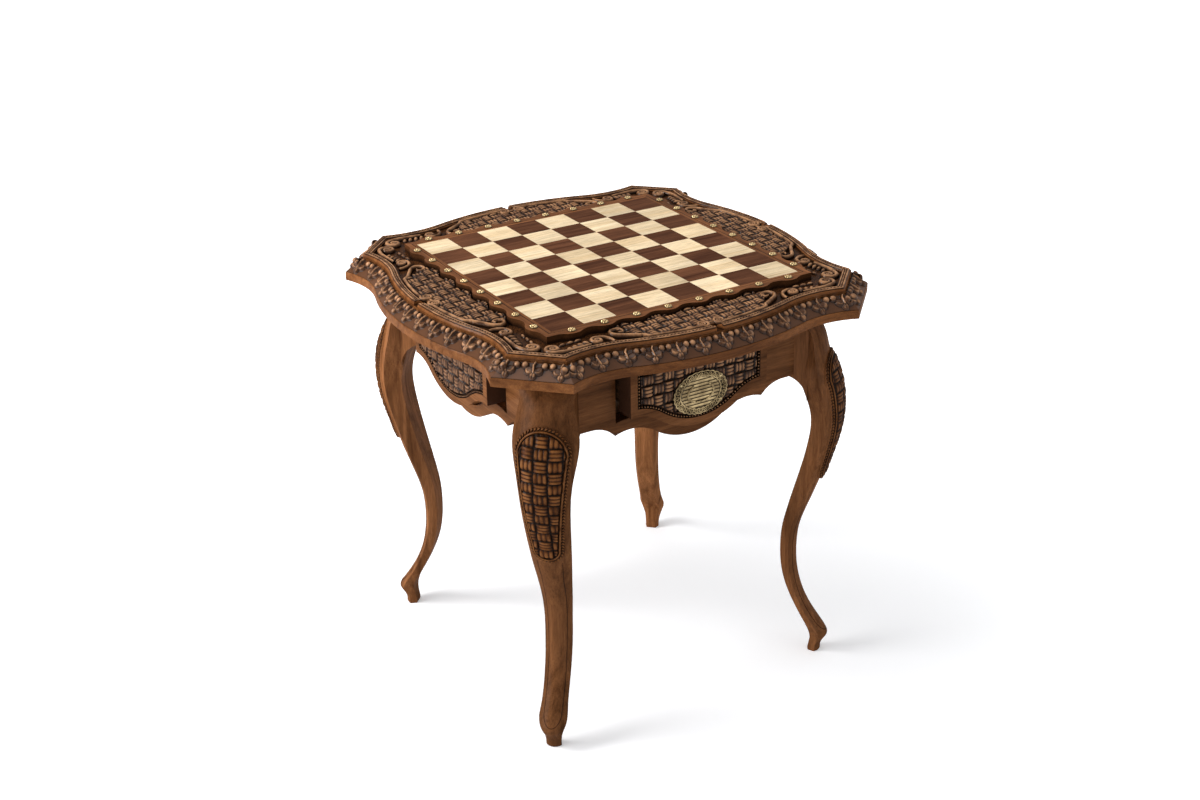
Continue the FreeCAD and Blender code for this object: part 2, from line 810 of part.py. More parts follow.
def button_screw_pair(grow):
    low = underside - button_slot_below - button_tongue
    screws = []
    for s in (-1, 1):
        at = V(s * button_place, -rail_inner + button_long * 0.6, low)
        shank = rod(screw_radius + grow, underside - low + top_screw_bite + grow, at, V(0, 0, 1))
        head = rod(screw_head_radius, screw_head, at - V(0, 0, screw_head), V(0, 0, 1))
        screws.append(shank if grow else shank.fuse(head))
    return screws


def button_screws(grow):
    return [turned(s, quarter) for quarter in range(4) for s in button_screw_pair(grow)]


def main():
    os.makedirs("parts", exist_ok=True)
    core_top = board_height - veneer_thick
    save("top_panel", make_top())
    save("board_core", box(-field_half, field_half, -field_half, field_half, core_top - core_thick, core_top))
    save("light_squares", make_squares(True))
    save("dark_squares", make_squares(False))
    save("border_studs", make_studs())

    sides = ["front", "right", "back", "left"]
    corners = ["front_left", "front_right", "back_right", "back_left"]
    border = make_border()
    leg = make_leg()
    brace = make_brace()
    rail = make_rail()
    front = make_drawer_front()
    for quarter in range(4):
        side = sides[quarter]
        save("border_" + side, border[quarter])
        save("leg_" + corners[quarter], turned(leg, quarter))
        save("brace_" + corners[quarter], turned(brace, quarter))
        save("rail_" + side, turned(rail, quarter))
        deep = quarter % 2 == 0
        end = deep_end if deep else shallow_end
        back = deep_back if deep else shallow_back
        wall = make_drawer_side(end, back)
        plaqued = front
        if side == "front":
            for pin in plaque_pins(clear):
                plaqued = plaqued.cut(pin)
        save("drawer_" + side + "_front", turned(plaqued, quarter))
        save("drawer_" + side + "_wall_a", turned(mirrored(wall), quarter))
        save("drawer_" + side + "_wall_b", turned(wall, quarter))
        save("drawer_" + side + "_back", turned(make_drawer_back(back), quarter))
        save("drawer_" + side + "_bottom", turned(make_drawer_bottom(back), quarter))

    save("plaque", make_plaque())
    save("plaque_pins", plaque_pins(0.0))
    long_runner = make_long_runner()
    save("runner_right", long_runner)
    save("runner_left", mirrored(long_runner))
    short = fore_and_aft(make_short_runner())
    save("short_runners", short + [mirrored(s) for s in short])
    kicker = box(kicker_inner, guide_outer, -rail_inner, rail_inner, underside - kicker_height, underside)
    save("kickers", [kicker, mirrored(kicker)])
    stub = box(guide_outer, rail_inner, kicker_inner, guide_outer, underside - kicker_height, underside)
    stubs = fore_and_aft(stub)
    save("short_kickers", stubs + [mirrored(s) for s in stubs])
    save("stop_bar", make_stop_bar())
    save("brace_screws", [turned(s, quarter) for quarter in range(4) for s in brace_screws(0.0)])
    save("top_buttons", [turned(b, quarter) for quarter in range(4) for b in button_pair(0.0)])
    save("button_screws", button_screws(0.0))


main()
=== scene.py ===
from math import asin, cos, pi, radians, sin, sqrt

import bpy
import numpy as np
from mathutils import Matrix, Vector
from mathutils.bvhtree import BVHTree


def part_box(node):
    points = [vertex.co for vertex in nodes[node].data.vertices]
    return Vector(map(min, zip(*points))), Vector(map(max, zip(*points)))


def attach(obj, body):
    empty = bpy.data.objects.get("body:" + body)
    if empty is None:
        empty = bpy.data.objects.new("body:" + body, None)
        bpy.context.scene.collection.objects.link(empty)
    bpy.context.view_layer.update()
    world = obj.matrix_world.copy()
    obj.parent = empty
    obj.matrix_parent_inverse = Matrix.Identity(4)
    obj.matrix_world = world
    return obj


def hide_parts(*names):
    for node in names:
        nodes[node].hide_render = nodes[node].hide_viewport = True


# Chess table: carving, metalwork and finishes over the CAD parts.
# Millimetres, turned into metres where a mesh is made. The front, with the plaque, faces -Y.

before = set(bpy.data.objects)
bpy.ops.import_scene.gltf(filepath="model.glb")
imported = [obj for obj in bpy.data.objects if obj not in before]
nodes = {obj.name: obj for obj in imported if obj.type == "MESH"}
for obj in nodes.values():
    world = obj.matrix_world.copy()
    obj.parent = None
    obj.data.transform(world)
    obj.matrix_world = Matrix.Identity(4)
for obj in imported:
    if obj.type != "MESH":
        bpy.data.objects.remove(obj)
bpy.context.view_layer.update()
sides = ["front", "right", "back", "left"]


def box_mm(node):
    low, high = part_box(node)
    return np.array(low) * 1000, np.array(high) * 1000


# Sizes read from the frame
board_height = box_mm("light_squares")[1][2]
field_half = box_mm("light_squares")[1][0]
border_reach = -box_mm("border_front")[0][1]
mid_reach = box_mm("top_panel")[1][0]
underside = box_mm("top_panel")[0][2]
front_low, front_high = box_mm("drawer_front_front")
front_face = -front_low[1]
drawer_half = front_high[0]

# Serpentine outline and the moulded band
mid_bulge = 28.0
corner_rise = 11.4
valley_place = 175.0
corner_half = 227.8
valley_reach = mid_reach - mid_bulge
corner_reach = valley_reach + corner_rise
edge_thick = 12.4
rim_inset = 23.0
rim_foot = board_height - 13.8
rim_crown = board_height - 4.8
ground = board_height - 10.3
hollow = ((corner_half - valley_place) ** 2 + corner_rise ** 2) / (2 * corner_rise)
bulge = (valley_place ** 2 + mid_bulge ** 2) / (2 * mid_bulge) - hollow
root2 = sqrt(2.0)
upward = np.array([0.0, 0.0, 1.0])
forward = np.array([0.0, -1.0, 0.0])

# Border of the board
square = 50.0
border_rise = 8.0
lobe_radius = 21.0
stud_reach = 11.5
stud_radius = 5.6
stud_rise = 4.0
line_reach = 5.6
line_half = 0.5

# Carving
weave_cell = 16.5
weave_high = 5.5
weave_gap = 1.0
weave_first = border_reach + weave_gap
weave_inset = 41.5
weave_half = 126.0
weave_slant = 0.72
weave_columns = 316
weave_rows = 80
trefoil_pitch = 36.0
notch_half = 6.0
trefoil_top = 1.2
trefoil_foot = 26.8
trefoil_high = 5.0
trefoil_rows = 36
trefoil_columns = 49
petal_across = 5.9
petal_down = 13.5
petal_radius = 6.2
petal_high = 4.9
cup_radius = 4.4
cup_deep = 2.3
bead_across = 13.0
bead_down = 5.4
bead_high = 4.8
drop_down = 20.8
drop_high = 4.6
stem_bend = (-1.4, 6.0)
fillets = ((26.4, 0.5, 1.7), (33.0, 1.1, 1.5))
fillet_high = 1.5
pearl_inset = 29.7
pearl_pitch = 5.2
pearl_size = (2.2, 1.6, 1.3)
pearl_sunk = 0.3
skin = 0.12
hip_gap = 0.02
panel_lift = 0.15
field_lift = 0.1
frame_place = 13.5
frame_inset = 46.0
frame_radii = (9.4, 2.4)
frame_turns = 1.7
frame_off = 2.4
frame_hook = ((-26, 40), (-12, 31), (0, 23), (5, 14), (1, 6), (-8, 5), (-13, 10), (-11, 17), (-5, 16))
frame_size = (3.6, 7.0)
frame_boss = (2.8, 2.8, 6.2)
arch = {
    "foot": (146.0, 38.0), "lead": ((138.0, 0.0), (139.0, 10.0), (145.0, 19.0), (155.0, 22.5)),
    "eye": (156.5, 13.5), "radii": (9.0, 2.2), "start": -pi / 2, "turns": 1.5,
    "size": (3.4, 6.0), "boss": (2.8, 2.8, 5.6),
}
corner_volute = {
    "foot": (180.0, 39.5), "lead": ((170.0, 2.0), (188.0, 0.5), (206.0, -0.5), (219.0, 2.5)),
    "eye": (219.5, 15.0), "radii": (12.6, 2.6), "start": pi / 2, "turns": -1.7,
    "size": (3.9, 6.4), "boss": (3.4, 3.4, 6.0),
}
bead_row = (4, (8.6, 1.2), (7.6, 3.6, 5.4), (0.7, 0.0, 0.4), radians(62))
leaf_row = (3, (12.0, 0.6), (7.0, 2.6, 3.6), (0.8, 0.0, 0.0), radians(-8))
bead_start = (172.5, 15.0)
leaf_start = (176.0, 6.0)
field_margin = 11.0
field_sunk = 4.0
drawer_weave_in = 5.6
drawer_weave_high = 4.9
drawer_bead_in = 2.4
drawer_bead_pitch = 4.7
drawer_bead_size = (2.0, 2.0, 4.4)
drawer_rows = 92
front_crest_in = 6.0
front_crest_rise = 35.5
front_lobe_share = 0.636
knee_top_below = 112.0
knee_top_radius = 40.0
knee_foot_below = 254.0
knee_foot_radius = 24.0
knee_cell = 15.4
knee_stretch = 1.26
knee_weave_in = 8.4
knee_weave_high = 3.8
knee_rows = 250
knee_columns = 84
knee_rim_in = 6.4
knee_rim_half = 1.9
knee_rim_high = 2.8
knee_rope_in = 2.4
knee_rope_pitch = 5.0
knee_rope_size = (3.4, 1.7, 2.0)
knee_rope_skew = radians(38)
line_top = 296.0
line_foot = 54.0
toe_half = 13.0
toe_drop = 17.0
line_heights = (line_foot, 130.0, 260.0, line_top)
line_widths = (toe_half, toe_half, 15.5, 18.0)
scribe_half = 0.8
scribe_high = 0.5
scribe_sunk = 0.25
plaque_half_width = 45.0
plaque_half_height = 32.5
plaque_below_top = 74.0
plaque_z = underside - plaque_below_top
plaque_clear = 0.4
plaque_bed = 0.5
plaque_thick = 1.0
plaque_face = front_face + plaque_thick + 0.5
hatch_pitch = 5.0
hatch_share = 0.7
ring_in = 6.2
ring_pitch = 7.3
ring_radius = 2.6
ring_half_width = 0.85
ring_high = 1.3
ring_bead = (1.2, 1.2, 1.4)
spray_half_width = 21.0
spray_half_height = 13.5
leaf_size = (4.6, 1.7, 1.5)


# Meshes

def turned(points, quarter):
    """Points turned about the upright axis by quarter turns."""
    c, s = ((1, 0), (0, 1), (-1, 0), (0, -1))[quarter]
    out = np.array(points, float)
    x = out[..., 0].copy()
    y = out[..., 1].copy()
    out[..., 0] = c * x - s * y
    out[..., 1] = s * x + c * y
    return out


def place_in_scene(name, data):
    thing = bpy.data.objects.new(name, data)
    bpy.context.scene.collection.objects.link(thing)
    return thing


class Carving:
    """Grids, ribbons and beads gathered into one mesh, with each point's relief from 0 to 1; the carved
    wood paints shade where it is low and a highlight where it is high.
    """

    def __init__(self):
        self.points = []
        self.faces = []
        self.relief = []
        self.count = 0

    def add(self, points, faces, relief):
        points = np.asarray(points, float).reshape(-1, 3)
        self.points.append(points)
        self.faces.extend(tuple(i + self.count for i in face) for face in faces)
        self.relief.append(np.broadcast_to(np.asarray(relief, float).ravel(), (len(points),)))
        self.count += len(points)

    def grid(self, points, relief, wrap=False):
        """A sheet of rows and columns; wrap joins the last column to the first."""
        rows, cols = points.shape[:2]
        faces = []
        for r in range(rows - 1):
            for c in range(cols if wrap else cols - 1):
                d = (c + 1) % cols
                faces.append((r * cols + c, r * cols + d, (r + 1) * cols + d, (r + 1) * cols + c))
        self.add(points, faces, relief)

    def build(self, name, key, body="table", quarters=(0, 1, 2, 3)):
        """The carving as one piece, repeated at quarter turns about the upright axis."""
        one = np.concatenate(self.points)
        points = np.concatenate([turned(one, quarter) for quarter in quarters]) * 0.001
        starts = [k * len(one) for k in range(len(quarters))]
        faces = [tuple(i + start for i in face) for start in starts for face in self.faces]
        mesh = bpy.data.meshes.new(name)
        mesh.from_pydata(points.tolist(), [], faces)
        mesh.attributes.new("relief", "FLOAT", "POINT")
        relief = np.tile(np.concatenate(self.relief), len(quarters)).astype(np.float32)
        mesh.attributes["relief"].data.foreach_set("value", relief)
        mesh.shade_smooth()
        mesh.materials.append(materials[key])
        piece = place_in_scene(name, mesh)
        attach(piece, body)
        return piece


def bead_shape(rings=3, around=10):
    """Half ball of unit size: points and faces."""
    points = [(0.0, 0.0, 1.0)]
    for r in range(1, rings + 1):
        lean = pi / 2 * r / rings
        for k in range(around):
            turn = 2 * pi * k / around
            points.append((sin(lean) * cos(turn), sin(lean) * sin(turn), cos(lean)))
    faces = [(0, 1 + k, 1 + (k + 1) % around) for k in range(around)]
    for r in range(rings - 1):
        a = 1 + r * around
        for k in range(around):
            d = (k + 1) % around
            faces.append((a + k, a + around + k, a + around + d, a + d))
    return np.array(points), faces


def add_beads(carving, places, along, up, size, skew=0.0):
    """Half-ball beads at places, with their long axis turned by skew from along."""
    shape, faces = bead_shape()
    up = np.broadcast_to(up, places.shape)
    across = np.cross(up, along)
    turn_c, turn_s = cos(skew), sin(skew)
    for p, t, b, n in zip(places, along, across, up):
        long_axis = t * turn_c + b * turn_s
        short_axis = b * turn_c - t * turn_s
        local = shape * np.array(size)
        points = p + local[:, :1] * long_axis + local[:, 1:2] * short_axis + local[:, 2:] * n
        carving.add(points, faces, shape[:, 2] * 0.8 + 0.2)


def path_frames(points, closed):
    """Unit directions along a path of points."""
    if closed:
        ahead = np.roll(points, -1, axis=0) - np.roll(points, 1, axis=0)
    else:
        ahead = np.gradient(points, axis=0)
    return ahead / np.linalg.norm(ahead, axis=1)[:, None]


def path_run(path):
    """Distance along a path at each of its points."""
    steps = np.linalg.norm(np.diff(path, axis=0), axis=1)
    return np.concatenate([[0.0], np.cumsum(steps)])


def spaced(points, pitch, closed):
    """Places at an even pitch along a path, near the pitch asked for."""
    path = np.vstack([points, points[:1]]) if closed else np.asarray(points)
    run = path_run(path)
    count = max(2, int(round(run[-1] / pitch)))
    at = run[-1] * (np.arange(count) + (0.0 if closed else 0.5)) / count
    return np.stack([np.interp(at, run, path[:, k]) for k in range(path.shape[1])], axis=1)


def add_ribbon(carving, path, up, half_width, height, closed=False, ribs=9):
    """Half-round moulding along a path of points on a surface whose outward direction is up."""
    path = np.asarray(path, float)
    up = np.broadcast_to(np.asarray(up, float), path.shape)
    along = path_frames(path, closed)
    across = np.cross(up, along)
    wide = np.broadcast_to(np.asarray(half_width, float), (len(path),))[:, None, None]
    high = np.broadcast_to(np.asarray(height, float), (len(path),))[:, None, None]
    turn = np.linspace(0, pi, ribs)[None, :, None]
    sideways = across[:, None, :] * np.cos(turn) * wide
    points = path[:, None, :] + sideways + up[:, None, :] * np.sin(turn) * high
    relief = np.broadcast_to(0.15 + 0.85 * np.sin(turn[..., 0]), points.shape[:2])
    if closed:
        points = np.concatenate([points, points[:1]])
        relief = np.concatenate([relief, relief[:1]])
    carving.grid(points, relief)


def smooth_path(points, step=1.0):
    """Catmull-Rom curve through given points."""
    p = np.asarray(points, float)
    p = np.vstack([2 * p[0] - p[1], p, 2 * p[-1] - p[-2]])
    out = []
    for i in range(1, len(p) - 2):
        count = max(2, int(np.linalg.norm(p[i + 1] - p[i]) / step))
        for k in np.arange(count) / count:
            a = 2 * p[i]
            b = (p[i + 1] - p[i - 1]) * k
            c = (2 * p[i - 1] - 5 * p[i] + 4 * p[i + 1] - p[i + 2]) * k ** 2
            d = (3 * p[i] - p[i - 1] - 3 * p[i + 1] + p[i + 2]) * k ** 3
            out.append((a + b + c + d) / 2)
    out.append(p[-2])
    return np.array(out)


def spiral(centre, start_radius, end_radius, start, turn, steps=44):
    """Volute: a spiral that closes in from start_radius, from angle start through turn."""
    k = np.linspace(0, 1, steps)
    radius = start_radius * (end_radius / start_radius) ** k
    angle = start + turn * k
    return np.stack([centre[0] + radius * np.cos(angle), centre[1] + radius * np.sin(angle)], axis=1)


# Outline of the slab

def side_reach(x, inset):
    """Reach of the serpentine outline from the middle of the table, at x along a side."""
    x = np.abs(x)
    join = valley_place * (bulge - inset) / (bulge + hollow)
    crown = mid_reach - bulge + np.sqrt(np.maximum((bulge - inset) ** 2 - x ** 2, 0))
    dip = np.sqrt(np.maximum((hollow + inset) ** 2 - (x - valley_place) ** 2, 0))
    return np.where(x < join, crown, valley_reach + hollow - dip)


def tip_place(inset):
    """Where a side's outline meets the canted corner."""
    cant = corner_reach + corner_half - inset * root2
    reach = cant - valley_reach - hollow
    return (valley_place + reach + np.sqrt(2 * (hollow + inset) ** 2 - (valley_place - reach) ** 2)) / 2


def side_path(inset, step=1.0):
    """Front edge of the outline from its left tip to its right tip."""
    tip = tip_place(inset)
    x = np.linspace(-tip, tip, int(2 * tip / step))
    return np.stack([x, -side_reach(x, inset)], axis=1)


def cant_path(inset):
    """Canted corner from the front side to the right side."""
    end = side_path(inset)[-1]
    return end + np.outer(np.linspace(0, 1, 60), np.array([-end[1], -end[0]]) - end)


def rim_line(inset, step=1.0):
    """Line round a corner, from the notch in the front's ridge to the notch in the right side's."""
    side = side_path(inset, step)
    before = side[side[:, 0] > notch_half]
    after = turned(side[side[:, 0] < -notch_half], 1)
    return np.vstack([before, cant_path(inset)[1:-1], after])


def lifted(plan, z):
    return np.column_stack([plan, np.full(len(plan), z)])


def border_edge(x):
    """Reach of the lobed border at x along a side."""
    half = square / 2
    off = np.abs((np.asarray(x) % square) - half)
    valley = border_reach - border_rise
    rest = (half ** 2 + border_rise ** 2) / (2 * border_rise) - lobe_radius
    join = half * lobe_radius / (lobe_radius + rest)
    lobe = border_reach - lobe_radius + np.sqrt(np.maximum(lobe_radius ** 2 - off ** 2, 0))
    dip = valley + rest - np.sqrt(np.maximum(rest ** 2 - (half - off) ** 2, 0))
    return np.where(off < join, lobe, dip)


# Relief fields

def weave(a, b, edge, high, cell=weave_cell):
    """Height and tone of a basket weave of three-strand blocks, which fades out towards its edge; the tone
    is low between strands and at the ends of blocks, where the carved finish paints shade.
    """
    i = np.floor(a / cell)
    j = np.floor(b / cell)
    u = a / cell - i
    v = b / cell - j
    upright = (i + j) % 2 == 0
    along = np.abs(2 * np.where(upright, v, u) - 1)
    across = np.where(upright, u, v)
    arch = (1 - (0.96 * along) ** 2.6) ** 0.6
    strand = np.abs(np.sin(3 * pi * across)) ** 0.6
    flank = np.clip(np.minimum(across, 1 - across) / 0.07, 0, 1)
    height = np.clip(arch - 0.27 * (1 - strand), 0, 1) * (0.3 + 0.7 * flank)
    fade = np.clip(edge / 1.2 + 0.05, 0, 1)
    return high * height * fade, arch ** 1.4 * (0.2 + 0.8 * strand) * flank * fade


def dome(s, t, at, size, top):
    """Height of a half ellipsoid at a place."""
    q = 1 - ((s - at[0]) / size[0]) ** 2 - ((t - at[1]) / size[1]) ** 2
    return top * np.sqrt(np.clip(q, 0, None))


def stem(s, t, start, end, thick, top):
    """Height of a half-round rod from start to end."""
    a = np.array(start, float)
    d = np.array(end, float) - a
    k = np.clip(((s - a[0]) * d[0] + (t - a[1]) * d[1]) / (d @ d), 0, 1)
    gap = np.hypot(s - a[0] - k * d[0], t - a[1] - k * d[1])
    return top * np.sqrt(np.clip(1 - (gap / thick) ** 2, 0, None))


def petal(s, t, side, grow):
    """Cupped petal: a dome hollowed from its upper inner side."""
    radius = petal_radius + grow
    cup = dome(s, t, (side * petal_across, petal_down), (radius, radius), petal_high)
    cup_at = (side * (petal_across - 0.9), petal_down - 1.5)
    cavity = dome(s, t, cup_at, (cup_radius, cup_radius), cup_deep)
    return cup - np.minimum(cavity, 0.47 * cup)


def trefoil(s, t, grow=0.0):
    """One hanging unit of the outer band: twin beads, a curled stem, cupped petals and a veined drop."""
    high = np.zeros_like(s)
    for side in (-1, 1):
        bead = dome(s, t, (side * bead_across, bead_down), (4.9 + grow, 5.3 + grow), bead_high)
        high = np.maximum(high, np.maximum(bead, petal(s, t, side, grow)))
    drop = dome(s, t, (0.0, drop_down), (4.6 + grow, 5.4 + grow), drop_high)
    vein = stem(s, t, (0.0, 16.0), (0.0, 25.0), 0.9, 1.3)
    high = np.maximum(high, drop - np.minimum(vein, 0.3 * drop))
    high = np.maximum(high, stem(s, t, (0.8, 0.0), stem_bend, 1.8 + grow, 4.4))
    return np.maximum(high, stem(s, t, stem_bend, (0.0, 16.5), 1.6 + grow, trefoil_high))


def trefoil_tone(s, t, high):
    """Tone of the unit: dark in a line round each form as painted shadow, paler on its crest."""
    ground_tone = np.where(trefoil(s, t, 1.0) > 0, 0.02, 0.24)
    return np.where(high > 0, 0.3 + 0.7 * (high / trefoil_high) ** 1.35, ground_tone)


# Nodes of the materials

class Shader:
    """A material or world with a short way to add nodes and links."""

    def __init__(self, name, kind="materials"):
        self.block = getattr(bpy.data, kind).new(name)
        self.block.use_nodes = True
        self.tree = self.block.node_tree

    def put(self, socket, value):
        if isinstance(value, bpy.types.NodeSocket):
            self.tree.links.new(value, socket)
        else:
            socket.default_value = value

    def add(self, kind, sockets, **settings):
        node = self.tree.nodes.new(kind)
        for key, value in settings.items():
            setattr(node, key, value)
        for key, value in sockets.items():
            self.put(node.inputs[key], value)
        return node

    def noise(self, where, scale, detail=4.0, rough=0.55, distort=0.0):
        stretched = self.add("ShaderNodeMapping", {"Vector": where, "Scale": scale}).outputs[0]
        return self.add("ShaderNodeTexNoise", {"Vector": stretched, "Scale": 1.0, "Detail": detail,
                                               "Roughness": rough, "Distortion": distort}).outputs["Fac"]

    def ramp(self, factor, stops):
        node = self.add("ShaderNodeValToRGB", {"Fac": factor})
        while len(node.color_ramp.elements) < len(stops):
            node.color_ramp.elements.new(0.5)
        for element, (place, colour) in zip(node.color_ramp.elements, stops):
            element.position = place
            element.color = (*colour, 1.0) if isinstance(colour, tuple) else (colour, colour, colour, 1.0)
        return node.outputs["Color"]

    def mix(self, factor, a, b, blend="MIX"):
        node = self.add("ShaderNodeMix", {}, data_type="RGBA", blend_type=blend)
        self.put(node.inputs[0], factor)
        self.put(node.inputs[6], (*a, 1.0) if isinstance(a, tuple) else a)
        self.put(node.inputs[7], (*b, 1.0) if isinstance(b, tuple) else b)
        return node.outputs[2]

    def math(self, operation, a, b=0.0):
        node = self.add("ShaderNodeMath", {}, operation=operation)
        self.put(node.inputs[0], a)
        self.put(node.inputs[1], b)
        return node.outputs[0]

    def vector(self, operation, sockets):
        return self.add("ShaderNodeVectorMath", sockets, operation=operation).outputs[0]

    def bump(self, height, strength, distance):
        sockets = {"Height": height, "Strength": strength, "Distance": distance}
        return self.add("ShaderNodeBump", sockets).outputs[0]

    def place(self):
        """The shaded point, in the table's frame."""
        return self.add("ShaderNodeTexCoord", {}).outputs["Object"]

    def relief(self):
        return self.add("ShaderNodeAttribute", {}, attribute_name="relief").outputs["Fac"]

    def part(self, vector, axis):
        return self.add("ShaderNodeSeparateXYZ", {"Vector": vector}).outputs[axis]

    def facing(self, axis):
        """Part of the face's direction that lies along an axis, from -1 to 1."""
        return self.part(self.add("ShaderNodeNewGeometry", {}).outputs["True Normal"], axis)

    def seen(self):
        """1 where the point is seen directly, mirrored or through glass, 0 where it only gives light."""
        path = self.add("ShaderNodeLightPath", {})
        direct = self.math("MAXIMUM", path.outputs["Is Camera Ray"], path.outputs["Is Glossy Ray"])
        return self.math("MAXIMUM", direct, path.outputs["Is Transmission Ray"])

    def openness(self, distance):
        """How open the point is to its surroundings, from 0 to 1."""
        return self.add("ShaderNodeAmbientOcclusion", {"Distance": distance}, samples=6).outputs["AO"]

    def finish(self, colour, rough, normal=None, metal=0.0, specular=0.0, coat=0.0):
        sockets = self.tree.nodes["Principled BSDF"].inputs
        self.put(sockets["Base Color"], colour)
        self.put(sockets["Roughness"], rough)
        sockets["Metallic"].default_value = metal
        sockets["Specular IOR Level"].default_value = specular
        sockets["Coat Weight"].default_value = coat
        sockets["Coat Roughness"].default_value = coat_rough
        if normal:
            self.put(sockets["Normal"], normal)
        return self.block


def grain_scale(axis, across, along):
    return tuple(along if k == axis else across for k in range(3))


def timber(shader, axis, dark, light, where=None):
    """Colour and figure height of straight-grained wood whose grain runs along an axis."""
    where = where or shader.place()
    figure = shader.noise(where, grain_scale(axis, 55.0, 4.0), 5.0, 0.6, 0.8)
    streak = shader.noise(where, grain_scale(axis, 420.0, 12.0), 3.0, 0.6)
    pores = shader.noise(where, grain_scale(axis, 1500.0, 60.0), 2.0, 0.5)
    cloud = shader.noise(where, (7.0, 7.0, 7.0), 2.0)
    mid = tuple((a + b) / 2 for a, b in zip(dark, light))
    colour = shader.ramp(figure, [(0.3, dark), (0.5, mid), (0.72, light)])
    layers = ((0.6, streak, [(0.3, 0.62), (0.65, 1.15)]), (0.5, pores, [(0.36, 0.45), (0.5, 1.0)]),
              (0.7, cloud, [(0.3, 0.72), (0.7, 1.2)]))
    for strength, noise, stops in layers:
        colour = shader.mix(strength, colour, shader.ramp(noise, stops), "MULTIPLY")
    return colour, shader.math("ADD", streak, pores)


def plain_wood(name, axis, dark, light, rough=0.46, bump=0.12):
    """Waxed wood."""
    shader = Shader(name)
    colour, height = timber(shader, axis, dark, light)
    gloss = shader.math("MULTIPLY_ADD", height, 0.1)
    gloss.node.inputs[2].default_value = rough - 0.1
    return shader.finish(colour, gloss, shader.bump(height, bump, 0.0005), coat=0.06)


def hollows(shader, distance, colour):
    """A colour darkened with painted shade where the carving is deep and closed in."""
    open_part = shader.ramp(shader.openness(distance), [(0.45, 0.0), (0.97, 1.0)])
    return shader.mix(open_part, stain_and_shade_dark, colour)


def carved_wood(name, axis, dark, light, wear_and_highlight, floor, gleam):
    """Carved wood: painted shade at the lowest relief and in deep hollows, the floor's colour just above
    it, and crests lighter with wear and a painted highlight.
    """
    shader = Shader(name)
    where = shader.place()
    colour, height = timber(shader, axis, dark, light, where)
    relief = shader.relief()
    blotch = shader.noise(where, (60.0, 60.0, 60.0), 3.0)
    # Crests lighter: wear in blotches, and a painted highlight.
    wear_and_highlight_share = shader.math("MULTIPLY", relief, shader.ramp(blotch, [(0.3, 0.6), (0.65, 1.15)]))
    wear_and_highlight_colour = shader.mix(shader.ramp(wear_and_highlight_share, [(0.55, 0.0), (1.0, 0.9)]), colour, wear_and_highlight)
    # Lowest relief: painted shade in the gaps of the weave and round the carved forms.
    low = shader.mix(shader.ramp(relief, [(0.05, 0.0), (0.2, 1.0)]), stain_and_shade_dark, floor)
    body = shader.mix(shader.ramp(relief, [(0.24, 0.0), (0.6, 1.0)]), low, wear_and_highlight_colour)
    final = hollows(shader, 0.008, body)
    return shader.finish(final, 0.28, shader.bump(height, 0.25, 0.0006), coat=gleam)


def slab_wood(name):
    """The slab: plain along its edge and ridge, with a punched stain on the ground of the carving and
    painted shade in its hollows.
    """
    shader = Shader(name)
    where = shader.place()
    plain, height = timber(shader, 0, *edge_wood, where)
    above = shader.math("SUBTRACT", shader.part(where, "Z"), ground * 0.001)
    from_ground = shader.math("ABSOLUTE", above)
    level = shader.math("LESS_THAN", from_ground, 0.0003)
    punched = shader.noise(where, (700.0, 700.0, 700.0), 2.0)
    darkened = shader.mix(shader.ramp(punched, [(0.4, 0.0), (0.6, 1.0)]), stain_and_shade_dark, walnut[0])
    colour = shader.mix(level, plain, darkened)
    final = hollows(shader, 0.004, colour)
    return shader.finish(final, 0.38, shader.bump(height, 0.2, 0.0006), coat=0.1)


def border_wood(name, axis):
    """Border of the board: painted shade on its sides, in a scribed line between the squares and the
    studs, and in its hollows.
    """
    shader = Shader(name)
    where = shader.place()
    colour, height = timber(shader, axis, *border, where)
    across, along = (shader.math("ABSOLUTE", shader.part(where, way)) for way in "XY")
    reach = shader.math("MAXIMUM", across, along)
    past_line = shader.math("SUBTRACT", reach, (field_half + line_reach) * 0.001)
    off_line = shader.math("ABSOLUTE", past_line)
    on_line = shader.math("LESS_THAN", off_line, line_half * 0.001)
    on_edge = shader.math("LESS_THAN", shader.facing("Z"), 0.5)
    # Painted shade on the border's sides and in its scribed line.
    darkened = shader.math("MAXIMUM", on_line, shader.math("MULTIPLY", on_edge, 0.6))
    final = shader.mix(darkened, hollows(shader, 0.008, colour), stain_and_shade_dark)
    return shader.finish(final, 0.34, shader.bump(height, 0.12, 0.0005), coat=0.1)


def front_wood(name, axis):
    """Drawer front: waxed face and edges, with its two ends darker, and painted shade in its hollows."""
    shader = Shader(name)
    colour, height = timber(shader, axis, *walnut)
    at_end = shader.math("GREATER_THAN", shader.math("ABSOLUTE", shader.facing(axis)), 0.95)
    final = shader.mix(at_end, hollows(shader, 0.006, colour), end_dark)
    return shader.finish(final, 0.4, shader.bump(height, 0.12, 0.0005), coat=0.06)


def board_wood(name, axis, dark, light):
    """Lacquered veneer: each square has its own cut of the wood."""
    shader = Shader(name)
    where = shader.place()
    scaled = shader.vector("SCALE", {0: where, "Scale": 1000 / square})
    cell = shader.vector("FLOOR", {0: scaled})
    pick = shader.add("ShaderNodeTexWhiteNoise", {"Vector": cell}, noise_dimensions="3D")
    moved = shader.vector("ADD", {0: where, 1: pick.outputs["Color"]})
    colour, height = timber(shader, axis, dark, light, moved)
    tone = shader.ramp(pick.outputs["Value"], [(0.0, 0.86), (1.0, 1.06)])
    colour = shader.mix(0.8, colour, tone, "MULTIPLY")
    return shader.finish(colour, 0.28, shader.bump(height, 0.03, 0.0003), coat=0.05)


